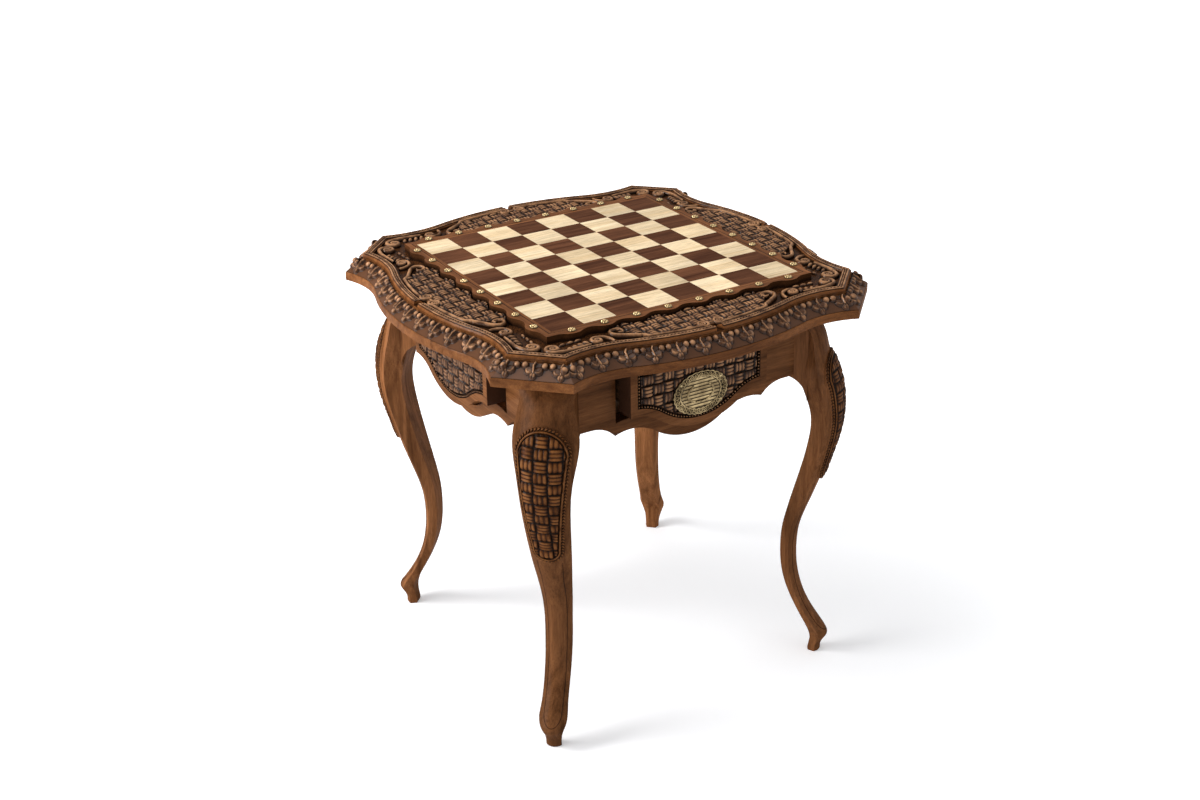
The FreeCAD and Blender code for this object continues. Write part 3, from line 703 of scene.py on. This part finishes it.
def metal(name, bright, dull, rough, patina, clouds):
    """Cast metal with duller clouds and a patina in its hollows."""
    shader = Shader(name)
    where = shader.place()
    speck = shader.noise(where, (900.0, 900.0, 900.0), 3.0)
    cloud = shader.noise(where, (clouds, clouds, clouds), 3.0)
    colour = shader.mix(shader.ramp(cloud, [(0.4, 0.0), (0.62, 1.0)]), dull, bright)
    raised = shader.ramp(shader.relief(), [(0.05, 0.15), (0.6, 1.0)])
    open_part = shader.math("MULTIPLY", shader.openness(0.003), raised)
    colour = shader.mix(shader.ramp(open_part, [(0.15, 0.0), (0.7, 1.0)]), patina, colour)
    gloss = shader.ramp(speck, [(0.3, rough - 0.08), (0.7, rough + 0.1)])
    return shader.finish(colour, gloss, shader.bump(speck, 0.15, 0.0002), metal=1.0, specular=0.5)


def plain_metal(name, bright, dull, rough):
    """Metal of small fasteners."""
    shader = Shader(name)
    where = shader.place()
    cloud = shader.noise(where, (140.0, 140.0, 140.0), 3.0)
    colour = shader.mix(shader.ramp(cloud, [(0.35, 0.0), (0.7, 1.0)]), bright, dull)
    return shader.finish(colour, rough, metal=1.0, specular=0.5)


# Colours: dark and light of each wood, bright and dull of each metal
walnut = ((0.078, 0.028, 0.009), (0.235, 0.095, 0.036))
carved = ((0.045, 0.017, 0.006), (0.12, 0.049, 0.02))
knee_wood = ((0.034, 0.01, 0.002), (0.105, 0.033, 0.008))
edge_wood = ((0.094, 0.031, 0.009), (0.255, 0.097, 0.031))
border = ((0.09, 0.031, 0.01), (0.27, 0.102, 0.036))
maple = ((0.68, 0.49, 0.275), (0.88, 0.715, 0.48))
dark_squares = ((0.05, 0.017, 0.008), (0.155, 0.06, 0.028))
# Inner wood darkened: painted shade inside the drawer openings.
shaded_inner_wood = ((0.07, 0.034, 0.015), (0.17, 0.09, 0.042))
# Crest colours: wear and a painted highlight on the carving's crests.
carved_wear_and_highlight = (0.4, 0.2, 0.092)
side_wear_and_dimmed_highlight = (0.22, 0.106, 0.049)
band_wear_and_highlight = (0.48, 0.24, 0.115)
knee_wear_and_highlight = (0.205, 0.08, 0.024)
# Real stain on the punched ground, and painted shade in the carving's gaps and hollows, round its forms,
# in scribed lines and on the border's sides.
stain_and_shade_dark = (0.01, 0.005, 0.003)
end_dark = (0.06, 0.027, 0.015)
band_floor = (0.085, 0.033, 0.013)
stud_brass = ((0.5, 0.37, 0.19), (0.3, 0.21, 0.1))
stud_patina = (0.02, 0.014, 0.008)
plaque_brass = ((0.32, 0.24, 0.125), (0.14, 0.1, 0.05))
plaque_patina = (0.008, 0.006, 0.004)
pin_brass = ((0.36, 0.28, 0.15), (0.2, 0.15, 0.08))
steel = ((0.6, 0.58, 0.55), (0.42, 0.4, 0.38))
coat_rough = 0.22
# Brightness of each leg's wood: painted light and shade, darker on the near leg and lighter on the far
# ones.
leg_light_and_shade = {"front_left": 0.74, "front_right": 1.1, "back_right": 1.75, "back_left": 1.3}


def make_materials():
    """Every finish by its key; the letter at the end of a key is the way the grain runs."""
    made = {}
    # The side drawers' carving gets a dimmer crest colour: painted shade against the strong light from the
    # left.
    for axis, tag, wear_and_highlight in ((0, "x", carved_wear_and_highlight), (1, "y", side_wear_and_dimmed_highlight)):
        made["carved_" + tag] = carved_wood("carved_walnut_" + tag, axis, *carved, wear_and_highlight, stain_and_shade_dark, 0.22)
        made["wood_" + tag] = plain_wood("walnut_" + tag, axis, *walnut)
        made["inner_" + tag] = plain_wood("shaded_inner_wood_" + tag, axis, *shaded_inner_wood, 0.6, 0.2)
        made["border_" + tag] = border_wood("border_wood_" + tag, axis)
        made["front_" + tag] = front_wood("front_wood_" + tag, axis)
    for corner, tone in leg_light_and_shade.items():
        dark, light = (tuple(tone * c for c in colour) for colour in walnut)
        made["leg_" + corner] = plain_wood("leg_painted_light_walnut_" + corner, 2, dark, light)
    made.update({
        "knee": carved_wood("carved_knee", 2, *knee_wood, knee_wear_and_highlight, stain_and_shade_dark, 0.1),
        "band": carved_wood("carved_band", 0, *carved, band_wear_and_highlight, band_floor, 0.3),
        "top": slab_wood("carved_top"),
        "groove": plain_wood("groove_shadow", 2, stain_and_shade_dark, walnut[0], 0.6),
        "light": board_wood("maple_squares", 0, *maple),
        "dark": board_wood("walnut_squares", 0, *dark_squares),
        "stud": metal("stud_brass", *stud_brass, 0.26, stud_patina, 140.0),
        "plaque": metal("plaque_brass", *plaque_brass, 0.34, plaque_patina, 60.0),
        "pin": plain_metal("pin_brass", *pin_brass, 0.35),
        "steel": plain_metal("screw_steel", *steel, 0.35),
    })
    return made


materials = make_materials()
plain_parts = {
    "top": ["top_panel"],
    "light": ["light_squares"],
    "dark": ["dark_squares"],
    "inner_x": ["board_core", "short_runners", "short_kickers", "stop_bar", "top_buttons"],
    "inner_y": ["runner_left", "runner_right", "kickers"],
    "steel": ["brace_screws", "button_screws"],
    "pin": ["plaque_pins"],
}


def dress(node, key):
    slots = nodes[node].data.materials
    slots.clear()
    slots.append(materials[key])


def dress_frame():
    """Finishes of the CAD parts; the grain runs along each part, so ways is along and across a side."""
    for key, parts in plain_parts.items():
        for node in parts:
            dress(node, key)
    for k, side in enumerate(sides):
        ways = ("xy", "yx")[k % 2]
        dress("rail_" + side, "wood_" + ways[0])
        dress("border_" + side, "border_" + ways[0])
        dress("drawer_" + side + "_front", "front_" + ways[0])
        for part, way in (("back", 0), ("bottom", 0), ("wall_a", 1), ("wall_b", 1)):
            dress("drawer_" + side + "_" + part, "inner_" + ways[way])
    for corner in leg_light_and_shade:
        dress("leg_" + corner, "leg_" + corner)
        dress("brace_" + corner, "inner_x")


# Carving of the top

def on_side(at, inset):
    """Plan of the band on the front: at along the outer edge from its middle, inset from it."""
    path = side_path(0.0)
    run = path_run(path) - path_run(path)[-1] / 2
    along = path_frames(path, False)
    x = np.interp(at, run, path[:, 0]) - np.interp(at, run, along[:, 1]) * inset
    y = np.interp(at, run, path[:, 1]) + np.interp(at, run, along[:, 0]) * inset
    return x, y


def on_cant(at, inset):
    """Plan of the band on the front right canted corner, as on_side."""
    reach = (corner_reach + corner_half) / 2 - inset / root2
    return reach + at / root2, at / root2 - reach


def inset_from_cant(x, y):
    return (corner_reach + corner_half - np.abs(x) - np.abs(y)) / root2


def inset_from_side(x, y):
    along = np.minimum(np.abs(x), np.abs(y))
    lean = (along - valley_place) / hollow
    return (side_reach(along, 0.0) - np.maximum(np.abs(x), np.abs(y))) * np.sqrt(1 - lean ** 2)


def band_place(plan, next_inset, at, t, high):
    """Points on the sloping outer band: t down from the ridge's foot, high off the slope.

    Past the hip the ground follows the next slope, and raised forms stand on out over it.
    """
    foot = underside + edge_thick
    drop = np.array([-rim_inset, foot - rim_foot])
    lean_c, lean_s = drop / np.linalg.norm(drop)
    lift = high + skin
    x, y = plan(at, rim_inset + lean_c * t + lean_s * lift)
    z = rim_foot + lean_s * t - lean_c * lift
    next_slope = foot + hip_gap + next_inset(x, y) * (rim_foot - foot) / rim_inset
    return np.stack([x, y, np.where(high > 0, z, np.minimum(z, next_slope))], axis=-1)


def make_trefoil_band():
    """Hanging trefoils along the four sides, and on the four canted corners."""
    rows = np.linspace(trefoil_top, trefoil_foot, trefoil_rows)
    runs = (("trefoil_band", on_side, inset_from_cant, side_path(0.0)),
            ("trefoil_corners", on_cant, inset_from_side, cant_path(0.0)))
    for name, plan, next_inset, edge in runs:
        run = path_run(edge)[-1]
        count = int(round(run / trefoil_pitch))
        pitch = run / count
        s, t = np.meshgrid(np.linspace(-pitch / 2, pitch / 2, trefoil_columns), rows)
        high = trefoil(s, t)
        tone = trefoil_tone(s, t, high)
        quarter = Carving()
        for k in range(count):
            at = (k + 0.5) * pitch - run / 2 + s
            quarter.grid(band_place(plan, next_inset, at, t, high), tone)
        quarter.build(name, "band")


def make_rim_string():
    """Pearls between two fillets along the ridge; each fillet has an inset, a drop and a half width."""
    quarter = Carving()
    for inset, drop, wide in fillets:
        line = lifted(rim_line(inset, 3.0), rim_crown - drop)
        add_ribbon(quarter, line, upward, wide, fillet_high, ribs=6)
    places = lifted(spaced(rim_line(pearl_inset), pearl_pitch, False), rim_crown - pearl_sunk)
    add_beads(quarter, places, path_frames(places, False), upward, pearl_size)
    quarter.build("rim_string", "carved_x")


def panel_edge(x):
    """Reach of the weave's outer edge: along the ridge, then back to the border on a slant."""
    slant = weave_first + (weave_half - np.abs(x)) / weave_slant
    return np.minimum(side_reach(x, weave_inset), slant)


def make_weave_panels():
    """Basket weave between the border and the ridge, in the middle of each side."""
    x = np.linspace(1 - weave_half, weave_half - 1, weave_columns)
    k = np.linspace(0, 1, weave_rows)[:, None]
    inner = border_edge(x) + weave_gap
    reach = inner + (panel_edge(x) - inner) * k
    wide = np.broadcast_to(x, reach.shape)
    edge = np.minimum(reach - inner, panel_edge(x) - reach)
    height, tone = weave(wide + weave_cell / 2, reach - weave_first, edge, weave_high)
    quarter = Carving()
    quarter.grid(np.stack([wide, -reach, ground + panel_lift + height], axis=-1), tone)
    quarter.build("weave_panels", "carved_x")


def frame_line(foot):
    """Scroll that frames half of the weave: a volute by the side's middle, then a hook by the border."""
    middle = spiral((frame_place, foot), *frame_radii, pi / 2, frame_turns * 2 * pi)[::-1]
    x = np.arange(frame_place + 3.5, weave_half + frame_hook[0][0], 2.0)
    along = np.stack([x, panel_edge(x) + frame_off], axis=1)
    hook = smooth_path([(weave_half + out, weave_first + reach) for out, reach in frame_hook])
    return np.vstack([middle, along, hook])


def add_scroll(carving, plan, size, mirror):
    """A scroll on the ground, tapering to its ends; plan is x and reach, size half width and height."""
    path = np.column_stack([plan[:, 0] * mirror, -plan[:, 1], np.full(len(plan), ground)])
    k = np.linspace(0, 1, len(path))
    taper = 0.5 + 0.5 * np.sin(pi * k) ** 0.5
    add_ribbon(carving, path, upward, size[0] * taper, size[1] * (0.6 + 0.4 * taper))


def add_boss(carving, at, size, mirror, lean=0.0):
    """A half-ball bead on the ground; at is x and reach."""
    place = np.array([[at[0] * mirror, -at[1], ground]])
    along = np.array([[mirror * cos(lean), sin(lean), 0.0]])
    add_beads(carving, place, along, upward, size)


def add_volute(carving, mirror, foot, lead, eye, radii, start, turns, size, boss):
    """Scroll along the lead and round its eye, which holds a bead; drops are measured in from the foot."""
    reach = side_reach(*foot)
    centre = (eye[0], reach - eye[1])
    run = smooth_path([(x, reach - drop) for x, drop in lead])
    curl = spiral(centre, *radii, start, turns * 2 * pi)
    add_scroll(carving, np.vstack([run[:-1], curl]), size, mirror)
    add_boss(carving, centre, boss, mirror)


def add_row(carving, start, mirror, count, step, size, shrink, lean):
    """A row of beads, each smaller than the last by shrink."""
    for k in range(count):
        at = (start[0] + step[0] * k, start[1] + step[1] * k)
        add_boss(carving, at, [a - b * k for a, b in zip(size, shrink)], mirror, lean)


def make_scrolls():
    """Volutes, arches, graded beads and leaves on the ground of the top."""
    quarter = Carving()
    frame_foot = side_reach(frame_place, frame_inset)
    arch_foot = side_reach(*arch["foot"])
    for mirror in (-1, 1):
        add_scroll(quarter, frame_line(frame_foot), frame_size, mirror)
        add_boss(quarter, (frame_place, frame_foot), frame_boss, mirror)
        add_volute(quarter, mirror, **arch)
        add_volute(quarter, mirror, **corner_volute)
        add_row(quarter, (bead_start[0], arch_foot - bead_start[1]), mirror, *bead_row)
        add_row(quarter, (leaf_start[0], border_reach + leaf_start[1]), mirror, *leaf_row)
    quarter.build("scrolls", "carved_x")


def make_rosettes():
    """Stud heads: eight petals round a bead."""
    around = 48
    radii = np.linspace(0, 1, 10)[:, None]
    turn = np.linspace(0, 2 * pi, around, endpoint=False)[None, :]
    lobes = 0.5 + 0.5 * np.cos(8 * turn)
    edge = 0.9 + 0.1 * np.sqrt(lobes)
    bead = np.sqrt(np.clip(1 - (radii / 0.34) ** 2, 0, None))
    leaf = np.sin(pi * np.clip((radii - 0.3) / 0.7, 0, 1)) ** 0.7 * (0.45 + 0.55 * lobes)
    high = np.maximum(bead, 0.75 * leaf + 0.05 * (1 - radii))
    quarter = Carving()
    for k in range(8):
        x = square * (k + 0.5) - field_half
        px = x + stud_radius * radii * edge * np.cos(turn)
        py = -field_half - stud_reach + stud_radius * radii * edge * np.sin(turn)
        z = board_height + 0.1 + (stud_rise - 0.2) * high * np.ones_like(px)
        quarter.grid(np.stack([px, py, z], axis=-1), high, wrap=True)
    piece = quarter.build("rosette_studs", "stud")
    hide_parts("border_studs")


# Drawer fronts

def front_wave(x, up):
    """Height of the drawer front's waved edge, moved up by an offset."""
    crest_x = drawer_half - front_crest_in
    radii = (crest_x ** 2 + front_crest_rise ** 2) / (2 * front_crest_rise)
    lobe_r = radii * front_lobe_share - up
    crest_r = radii - lobe_r
    low = front_low[2] + up + lobe_r
    high = front_low[2] + front_crest_rise + up - crest_r
    x = np.abs(x)
    lobe = low - np.sqrt(np.maximum(lobe_r ** 2 - x ** 2, 0))
    crest = high + np.sqrt(np.maximum(crest_r ** 2 - (x - crest_x) ** 2, 0))
    return np.where(x < crest_x * lobe_r / radii, lobe, crest)


def front_loop(margin):
    """Closed outline of the drawer's sunk field in x and z."""
    half = drawer_half - margin
    x = np.linspace(-half, half, 160)
    low = np.stack([x, front_wave(x, margin)], axis=1)
    top = front_high[2] - margin
    return np.vstack([low, [(half, top), (-half, top)]])


def make_drawer_weave(quarter):
    """Woven field of one drawer front, with a row of beads round it."""
    side = sides[quarter]
    inset = field_margin + drawer_weave_in
    half = drawer_half - inset
    x = np.linspace(-half, half, int(2 * half))
    k = np.linspace(0, 1, drawer_rows)[:, None]
    low = front_wave(x, inset)
    top = front_high[2] - inset
    z = low + (top - low) * k
    wide = np.broadcast_to(x, z.shape)
    edge = np.minimum(np.minimum(z - low, top - z), half - np.abs(wide))
    depth, tone = weave(wide + weave_cell / 2, z - top, edge, drawer_weave_high)
    if side == "front":
        oval = (wide / plaque_half_width) ** 2 + ((z - plaque_z) / plaque_half_height) ** 2
        depth = np.where(oval < 1.04, np.minimum(depth, field_sunk - plaque_bed), depth)
    points = np.stack([wide, -front_face + field_sunk - field_lift - depth, z], axis=-1)
    carving = Carving()
    carving.grid(points, tone)
    loop = front_loop(field_margin + drawer_bead_in)
    path = np.column_stack([loop[:, 0], np.full(len(loop), -front_face + field_sunk), loop[:, 1]])
    places = spaced(path, drawer_bead_pitch, True)
    add_beads(carving, places, path_frames(places, True), forward, drawer_bead_size)
    key = ("carved_x", "carved_y")[quarter % 2]
    carving.build("drawer_weave_" + side, key, body="drawer_" + side, quarters=(quarter,))


def add_plate(carving):
    """Oval plate with two raised lines round a hatched field."""
    turn = np.linspace(0, 2 * pi, 180, endpoint=False)[None, :]
    r = np.linspace(0, 1, 56)[:, None]
    scallop = 1 - 0.035 * (1 - np.abs(np.cos(14 * turn)))
    wide = (plaque_half_width - plaque_clear) * r * scallop * np.cos(turn)
    tall = (plaque_half_height - plaque_clear) * r * scallop * np.sin(turn)
    hatch = np.sin(2 * pi * tall / hatch_pitch) * (r < hatch_share)
    lines = np.exp(-((r - 0.755) / 0.022) ** 2) + 0.8 * np.exp(-((r - 0.97) / 0.02) ** 2)
    high = 0.5 + 0.2 * hatch + lines
    relief = np.clip((0.42 + 0.4 * hatch) * (r < hatch_share) + lines, 0, 1)
    y = -front_face - plaque_thick - high
    carving.grid(np.stack([wide, y, plaque_z + tall], axis=-1), relief, wrap=True)


def add_rings(carving):
    """Rings with a bead in each, round the plate's rim."""
    turn = np.linspace(0, 2 * pi, 180, endpoint=False)
    wide = (plaque_half_width - ring_in) * np.cos(turn)
    tall = (plaque_half_height - ring_in) * np.sin(turn)
    oval = np.stack([wide, np.full(turn.size, -plaque_face), plaque_z + tall], axis=1)
    places = spaced(oval, ring_pitch, True)
    add_beads(carving, places, path_frames(places, True), forward, ring_bead)
    ring = np.linspace(0, 2 * pi, 16, endpoint=False)
    circle = ring_radius * np.stack([np.cos(ring), np.zeros(16), np.sin(ring)], axis=1)
    for place in places:
        add_ribbon(carving, place + circle, forward, ring_half_width, ring_high, closed=True, ribs=5)


def add_spray(carving):
    """Plain laurel spray: two curved rows of leaves that meet below."""
    shape, faces = bead_shape(3, 8)
    local = shape * np.array(leaf_size)
    for mirror in (-1, 1):
        for k in range(7):
            a = radians(-80 + 21 * k)
            lean = mirror * (a + pi / 2)
            px = mirror * spray_half_width * cos(a) + local[:, 0] * cos(lean) - local[:, 1] * sin(lean)
            pz = plaque_z + spray_half_height * sin(a) + local[:, 0] * sin(lean) + local[:, 1] * cos(lean)
            points = np.column_stack([px, -plaque_face - local[:, 2], pz])
            carving.add(points, faces, 0.4 + 0.6 * shape[:, 2])


def make_plaque():
    """Oval plaque with a rim of rings and beads, a hatched field and a laurel spray."""
    carving = Carving()
    for add_part in (add_plate, add_rings, add_spray):
        add_part(carving)
    piece = carving.build("brass_plaque", "plaque", "drawer_front", (0,))
    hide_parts("plaque")


# Knees of the legs

class Knee:
    """Surface of the front left leg, read by rays along the diagonal."""

    def __init__(self):
        mesh = nodes["leg_front_left"].data
        points = [v.co * 1000 for v in mesh.vertices]
        self.tree = BVHTree.FromPolygons(points, [tuple(p.vertices) for p in mesh.polygons])
        self.outward = Vector((-1, -1, 0)).normalized()
        self.across = Vector((1, -1, 0)).normalized()

    def places(self, wide, z):
        """Points of the surface and its outward directions, at places across and up."""
        hits = []
        normals = []
        for w, h in zip(np.ravel(wide), np.ravel(z)):
            start = self.outward * 600 + self.across * float(w) + Vector((0, 0, float(h)))
            hit, normal, _, _ = self.tree.ray_cast(start, -self.outward)
            hits.append(hit)
            normals.append(normal)
        shape = (*np.shape(wide), 3)
        return np.array(hits).reshape(shape), np.array(normals).reshape(shape)


def egg(inset, step=1.5):
    """Closed outline of the knee panel, across and up, moved in by inset."""
    top = underside - knee_top_below
    foot = underside - knee_foot_below
    lean = asin((knee_top_radius - knee_foot_radius) / (top - foot))
    head = np.arange(lean, pi - lean, step / knee_top_radius)
    sole = np.arange(pi - lean, 2 * pi + lean, step / knee_foot_radius)
    big = knee_top_radius - inset
    small = knee_foot_radius - inset
    upper = np.stack([big * np.cos(head), top + big * np.sin(head)], axis=1)
    lower = np.stack([small * np.cos(sole), foot + small * np.sin(sole)], axis=1)
    k = np.linspace(0, 1, 90)[1:-1]
    left = upper[-1] + np.outer(k, lower[0] - upper[-1])
    right = lower[-1] + np.outer(k, upper[0] - lower[-1])
    return np.vstack([upper, left, lower, right])


def egg_half(z, inset):
    """Half width of the knee panel at height z."""
    loop = egg(inset)
    right = loop[loop[:, 0] > 0]
    order = np.argsort(right[:, 1])
    return np.interp(z, right[order, 1], right[order, 0])


def add_knee_weave(quarter, knee):
    """Basket weave over the knee, measured round the leg's own surface."""
    inset = knee_weave_in
    loop = egg(inset)
    z = np.linspace(loop[:, 1].min() + 0.4, loop[:, 1].max() - 0.4, knee_rows)[:, None]
    k = np.linspace(-1, 1, knee_columns)[None, :]
    wide = egg_half(z, inset) * k
    tall = np.broadcast_to(z, wide.shape)
    hits, normals = knee.places(wide, tall)
    steps = np.linalg.norm(np.diff(hits, axis=1), axis=2)
    round_way = np.concatenate([np.zeros_like(z), np.cumsum(steps, axis=1)], axis=1)
    round_way = round_way - round_way[:, -1:] / 2
    edge = np.minimum(egg_half(z, inset) * (1 - np.abs(k)), np.minimum(z - z[0], z[-1] - z))
    along = round_way / knee_stretch + knee_cell / 2
    height, tone = weave(along, tall, edge, knee_weave_high, knee_cell)
    quarter.grid(hits + normals * (field_lift + height)[..., None], tone)


def make_knees(knee):
    """Woven knee panels, each in a raised rim with a rope round it."""
    quarter = Carving()
    add_knee_weave(quarter, knee)
    rim, rim_up = knee.places(*egg(knee_rim_in).T)
    add_ribbon(quarter, rim, rim_up, knee_rim_half, knee_rim_high, closed=True, ribs=7)
    rope, rope_up = knee.places(*spaced(egg(knee_rope_in), knee_rope_pitch, True).T)
    add_beads(quarter, rope, path_frames(rope, True), rope_up, knee_rope_size, knee_rope_skew)
    quarter.build("knee_weave", "knee")


def make_leg_lines(knee):
    """A scribed line down each edge of the leg's front, joined in a loop over the toe, drawn as a dark
    ribbon of painted shade.
    """
    z = np.arange(line_top, line_foot, -4.0)
    wide = np.interp(z, line_heights, line_widths)
    turn = np.linspace(0, pi, 19)[1:-1]
    toe = np.column_stack([toe_half * np.cos(turn), line_foot - toe_drop * np.sin(turn)])
    line = np.vstack([np.column_stack([wide, z]), toe, np.column_stack([-wide, z])[::-1]])
    at, up = knee.places(line[:, 0], line[:, 1])
    quarter = Carving()
    add_ribbon(quarter, at - up * scribe_sunk, up, scribe_half, scribe_high, ribs=5)
    quarter.build("leg_lines", "groove")


# Studio, in metres

floor_reach = 12.0
floor_dark = (0.80, 0.80, 0.81)
floor_light = (0.83, 0.83, 0.84)
shadow_near = 0.4
shadow_far = 1.5
shadow_white = 0.3
sky_colour = (0.95, 0.97, 1.0, 1.0)
sky_power = 0.48
white = (1.0, 1.0, 1.0, 1.0)
lamp_aim = Vector((0.0, 0.0, 0.45))
lamps = (("key", (-2.4, 1.2, 2.2), 1.3, 84.0), ("side", (-2.8, 0.3, 0.9), 1.6, 44.0),
         ("fill", (1.8, -2.4, 0.8), 1.8, 12.0), ("overhead", (-0.2, 0.3, 3.2), 2.2, 32.0))
camera_place = (-1.2057, -2.0133, 1.4790)
azimuth = radians(-30.74)
elevation = radians(24.857)
roll = radians(-0.992)
lens = 51.74
sensor = 36.0


def make_floor():
    """Pale floor: seen directly it fades to plain white away from the table's shadow."""
    shader = Shader("studio_floor")
    where = shader.place()
    cloud = shader.noise(where, (0.8, 0.8, 0.8))
    colour = shader.ramp(cloud, [(0.3, floor_dark), (0.7, floor_light)])
    far = shader.add("ShaderNodeVectorMath", {0: where}, operation="LENGTH").outputs["Value"]
    fade = {"Value": far, "From Min": shadow_near, "From Max": shadow_far, "To Min": shadow_white}
    glow = shader.add("ShaderNodeMapRange", fade, interpolation_type="SMOOTHSTEP").outputs[0]
    sockets = shader.tree.nodes["Principled BSDF"].inputs
    sockets["Emission Color"].default_value = white
    shader.put(sockets["Emission Strength"], shader.math("MULTIPLY", shader.seen(), glow))
    material = shader.finish(colour, 0.9, specular=0.1)
    mesh = bpy.data.meshes.new("floor")
    corners = [(floor_reach * i, floor_reach * j, 0) for i, j in ((-1, -1), (1, -1), (1, 1), (-1, 1))]
    mesh.from_pydata(corners, [], [(0, 1, 2, 3)])
    mesh.materials.append(material)
    floor = place_in_scene("floor", mesh)


def make_world():
    """Soft light all round, plain white where it is seen directly or mirrored."""
    sky = Shader("studio", "worlds")
    soft = sky.tree.nodes["Background"]
    soft.inputs["Color"].default_value = sky_colour
    soft.inputs["Strength"].default_value = sky_power
    plain = sky.add("ShaderNodeBackground", {"Color": white})
    mix = sky.add("ShaderNodeMixShader", {0: sky.seen(), 1: soft.outputs[0], 2: plain.outputs[0]})
    sky.put(sky.tree.nodes["World Output"].inputs["Surface"], mix.outputs[0])
    bpy.context.scene.world = sky.block


def add_lamp(name, place, size, power):
    """A round lamp aimed at the table."""
    lamp = bpy.data.lights.new(name, "AREA")
    lamp.shape = "DISK"
    lamp.size = size
    lamp.energy = power
    holder = place_in_scene(name, lamp)
    holder.location = place
    aim = lamp_aim - Vector(place)
    holder.rotation_euler = aim.to_track_quat("-Z", "Y").to_euler()


def add_camera():
    """Camera at the photograph's viewpoint."""
    flat = cos(elevation)
    back = Vector((sin(azimuth) * flat, -cos(azimuth) * flat, sin(elevation)))
    level = Vector((cos(azimuth), sin(azimuth), 0))
    plumb = back.cross(level)
    right = level * cos(roll) + plumb * sin(roll)
    top = plumb * cos(roll) - level * sin(roll)
    data = bpy.data.cameras.new("camera")
    data.sensor_fit = "HORIZONTAL"
    data.sensor_width = sensor
    data.lens = lens
    camera = place_in_scene("camera", data)
    turn = Matrix((right, top, back)).transposed().to_4x4()
    camera.matrix_world = Matrix.Translation(camera_place) @ turn
    bpy.context.scene.camera = camera


dress_frame()
make_trefoil_band()
make_rim_string()
make_weave_panels()
make_scrolls()
make_rosettes()
for turn_of_side in range(4):
    make_drawer_weave(turn_of_side)
make_plaque()
leg_surface = Knee()
make_knees(leg_surface)
make_leg_lines(leg_surface)
make_floor()
make_world()
for lamp_settings in lamps:
    add_lamp(*lamp_settings)
add_camera()
bpy.context.scene.view_settings.view_transform = "Standard"
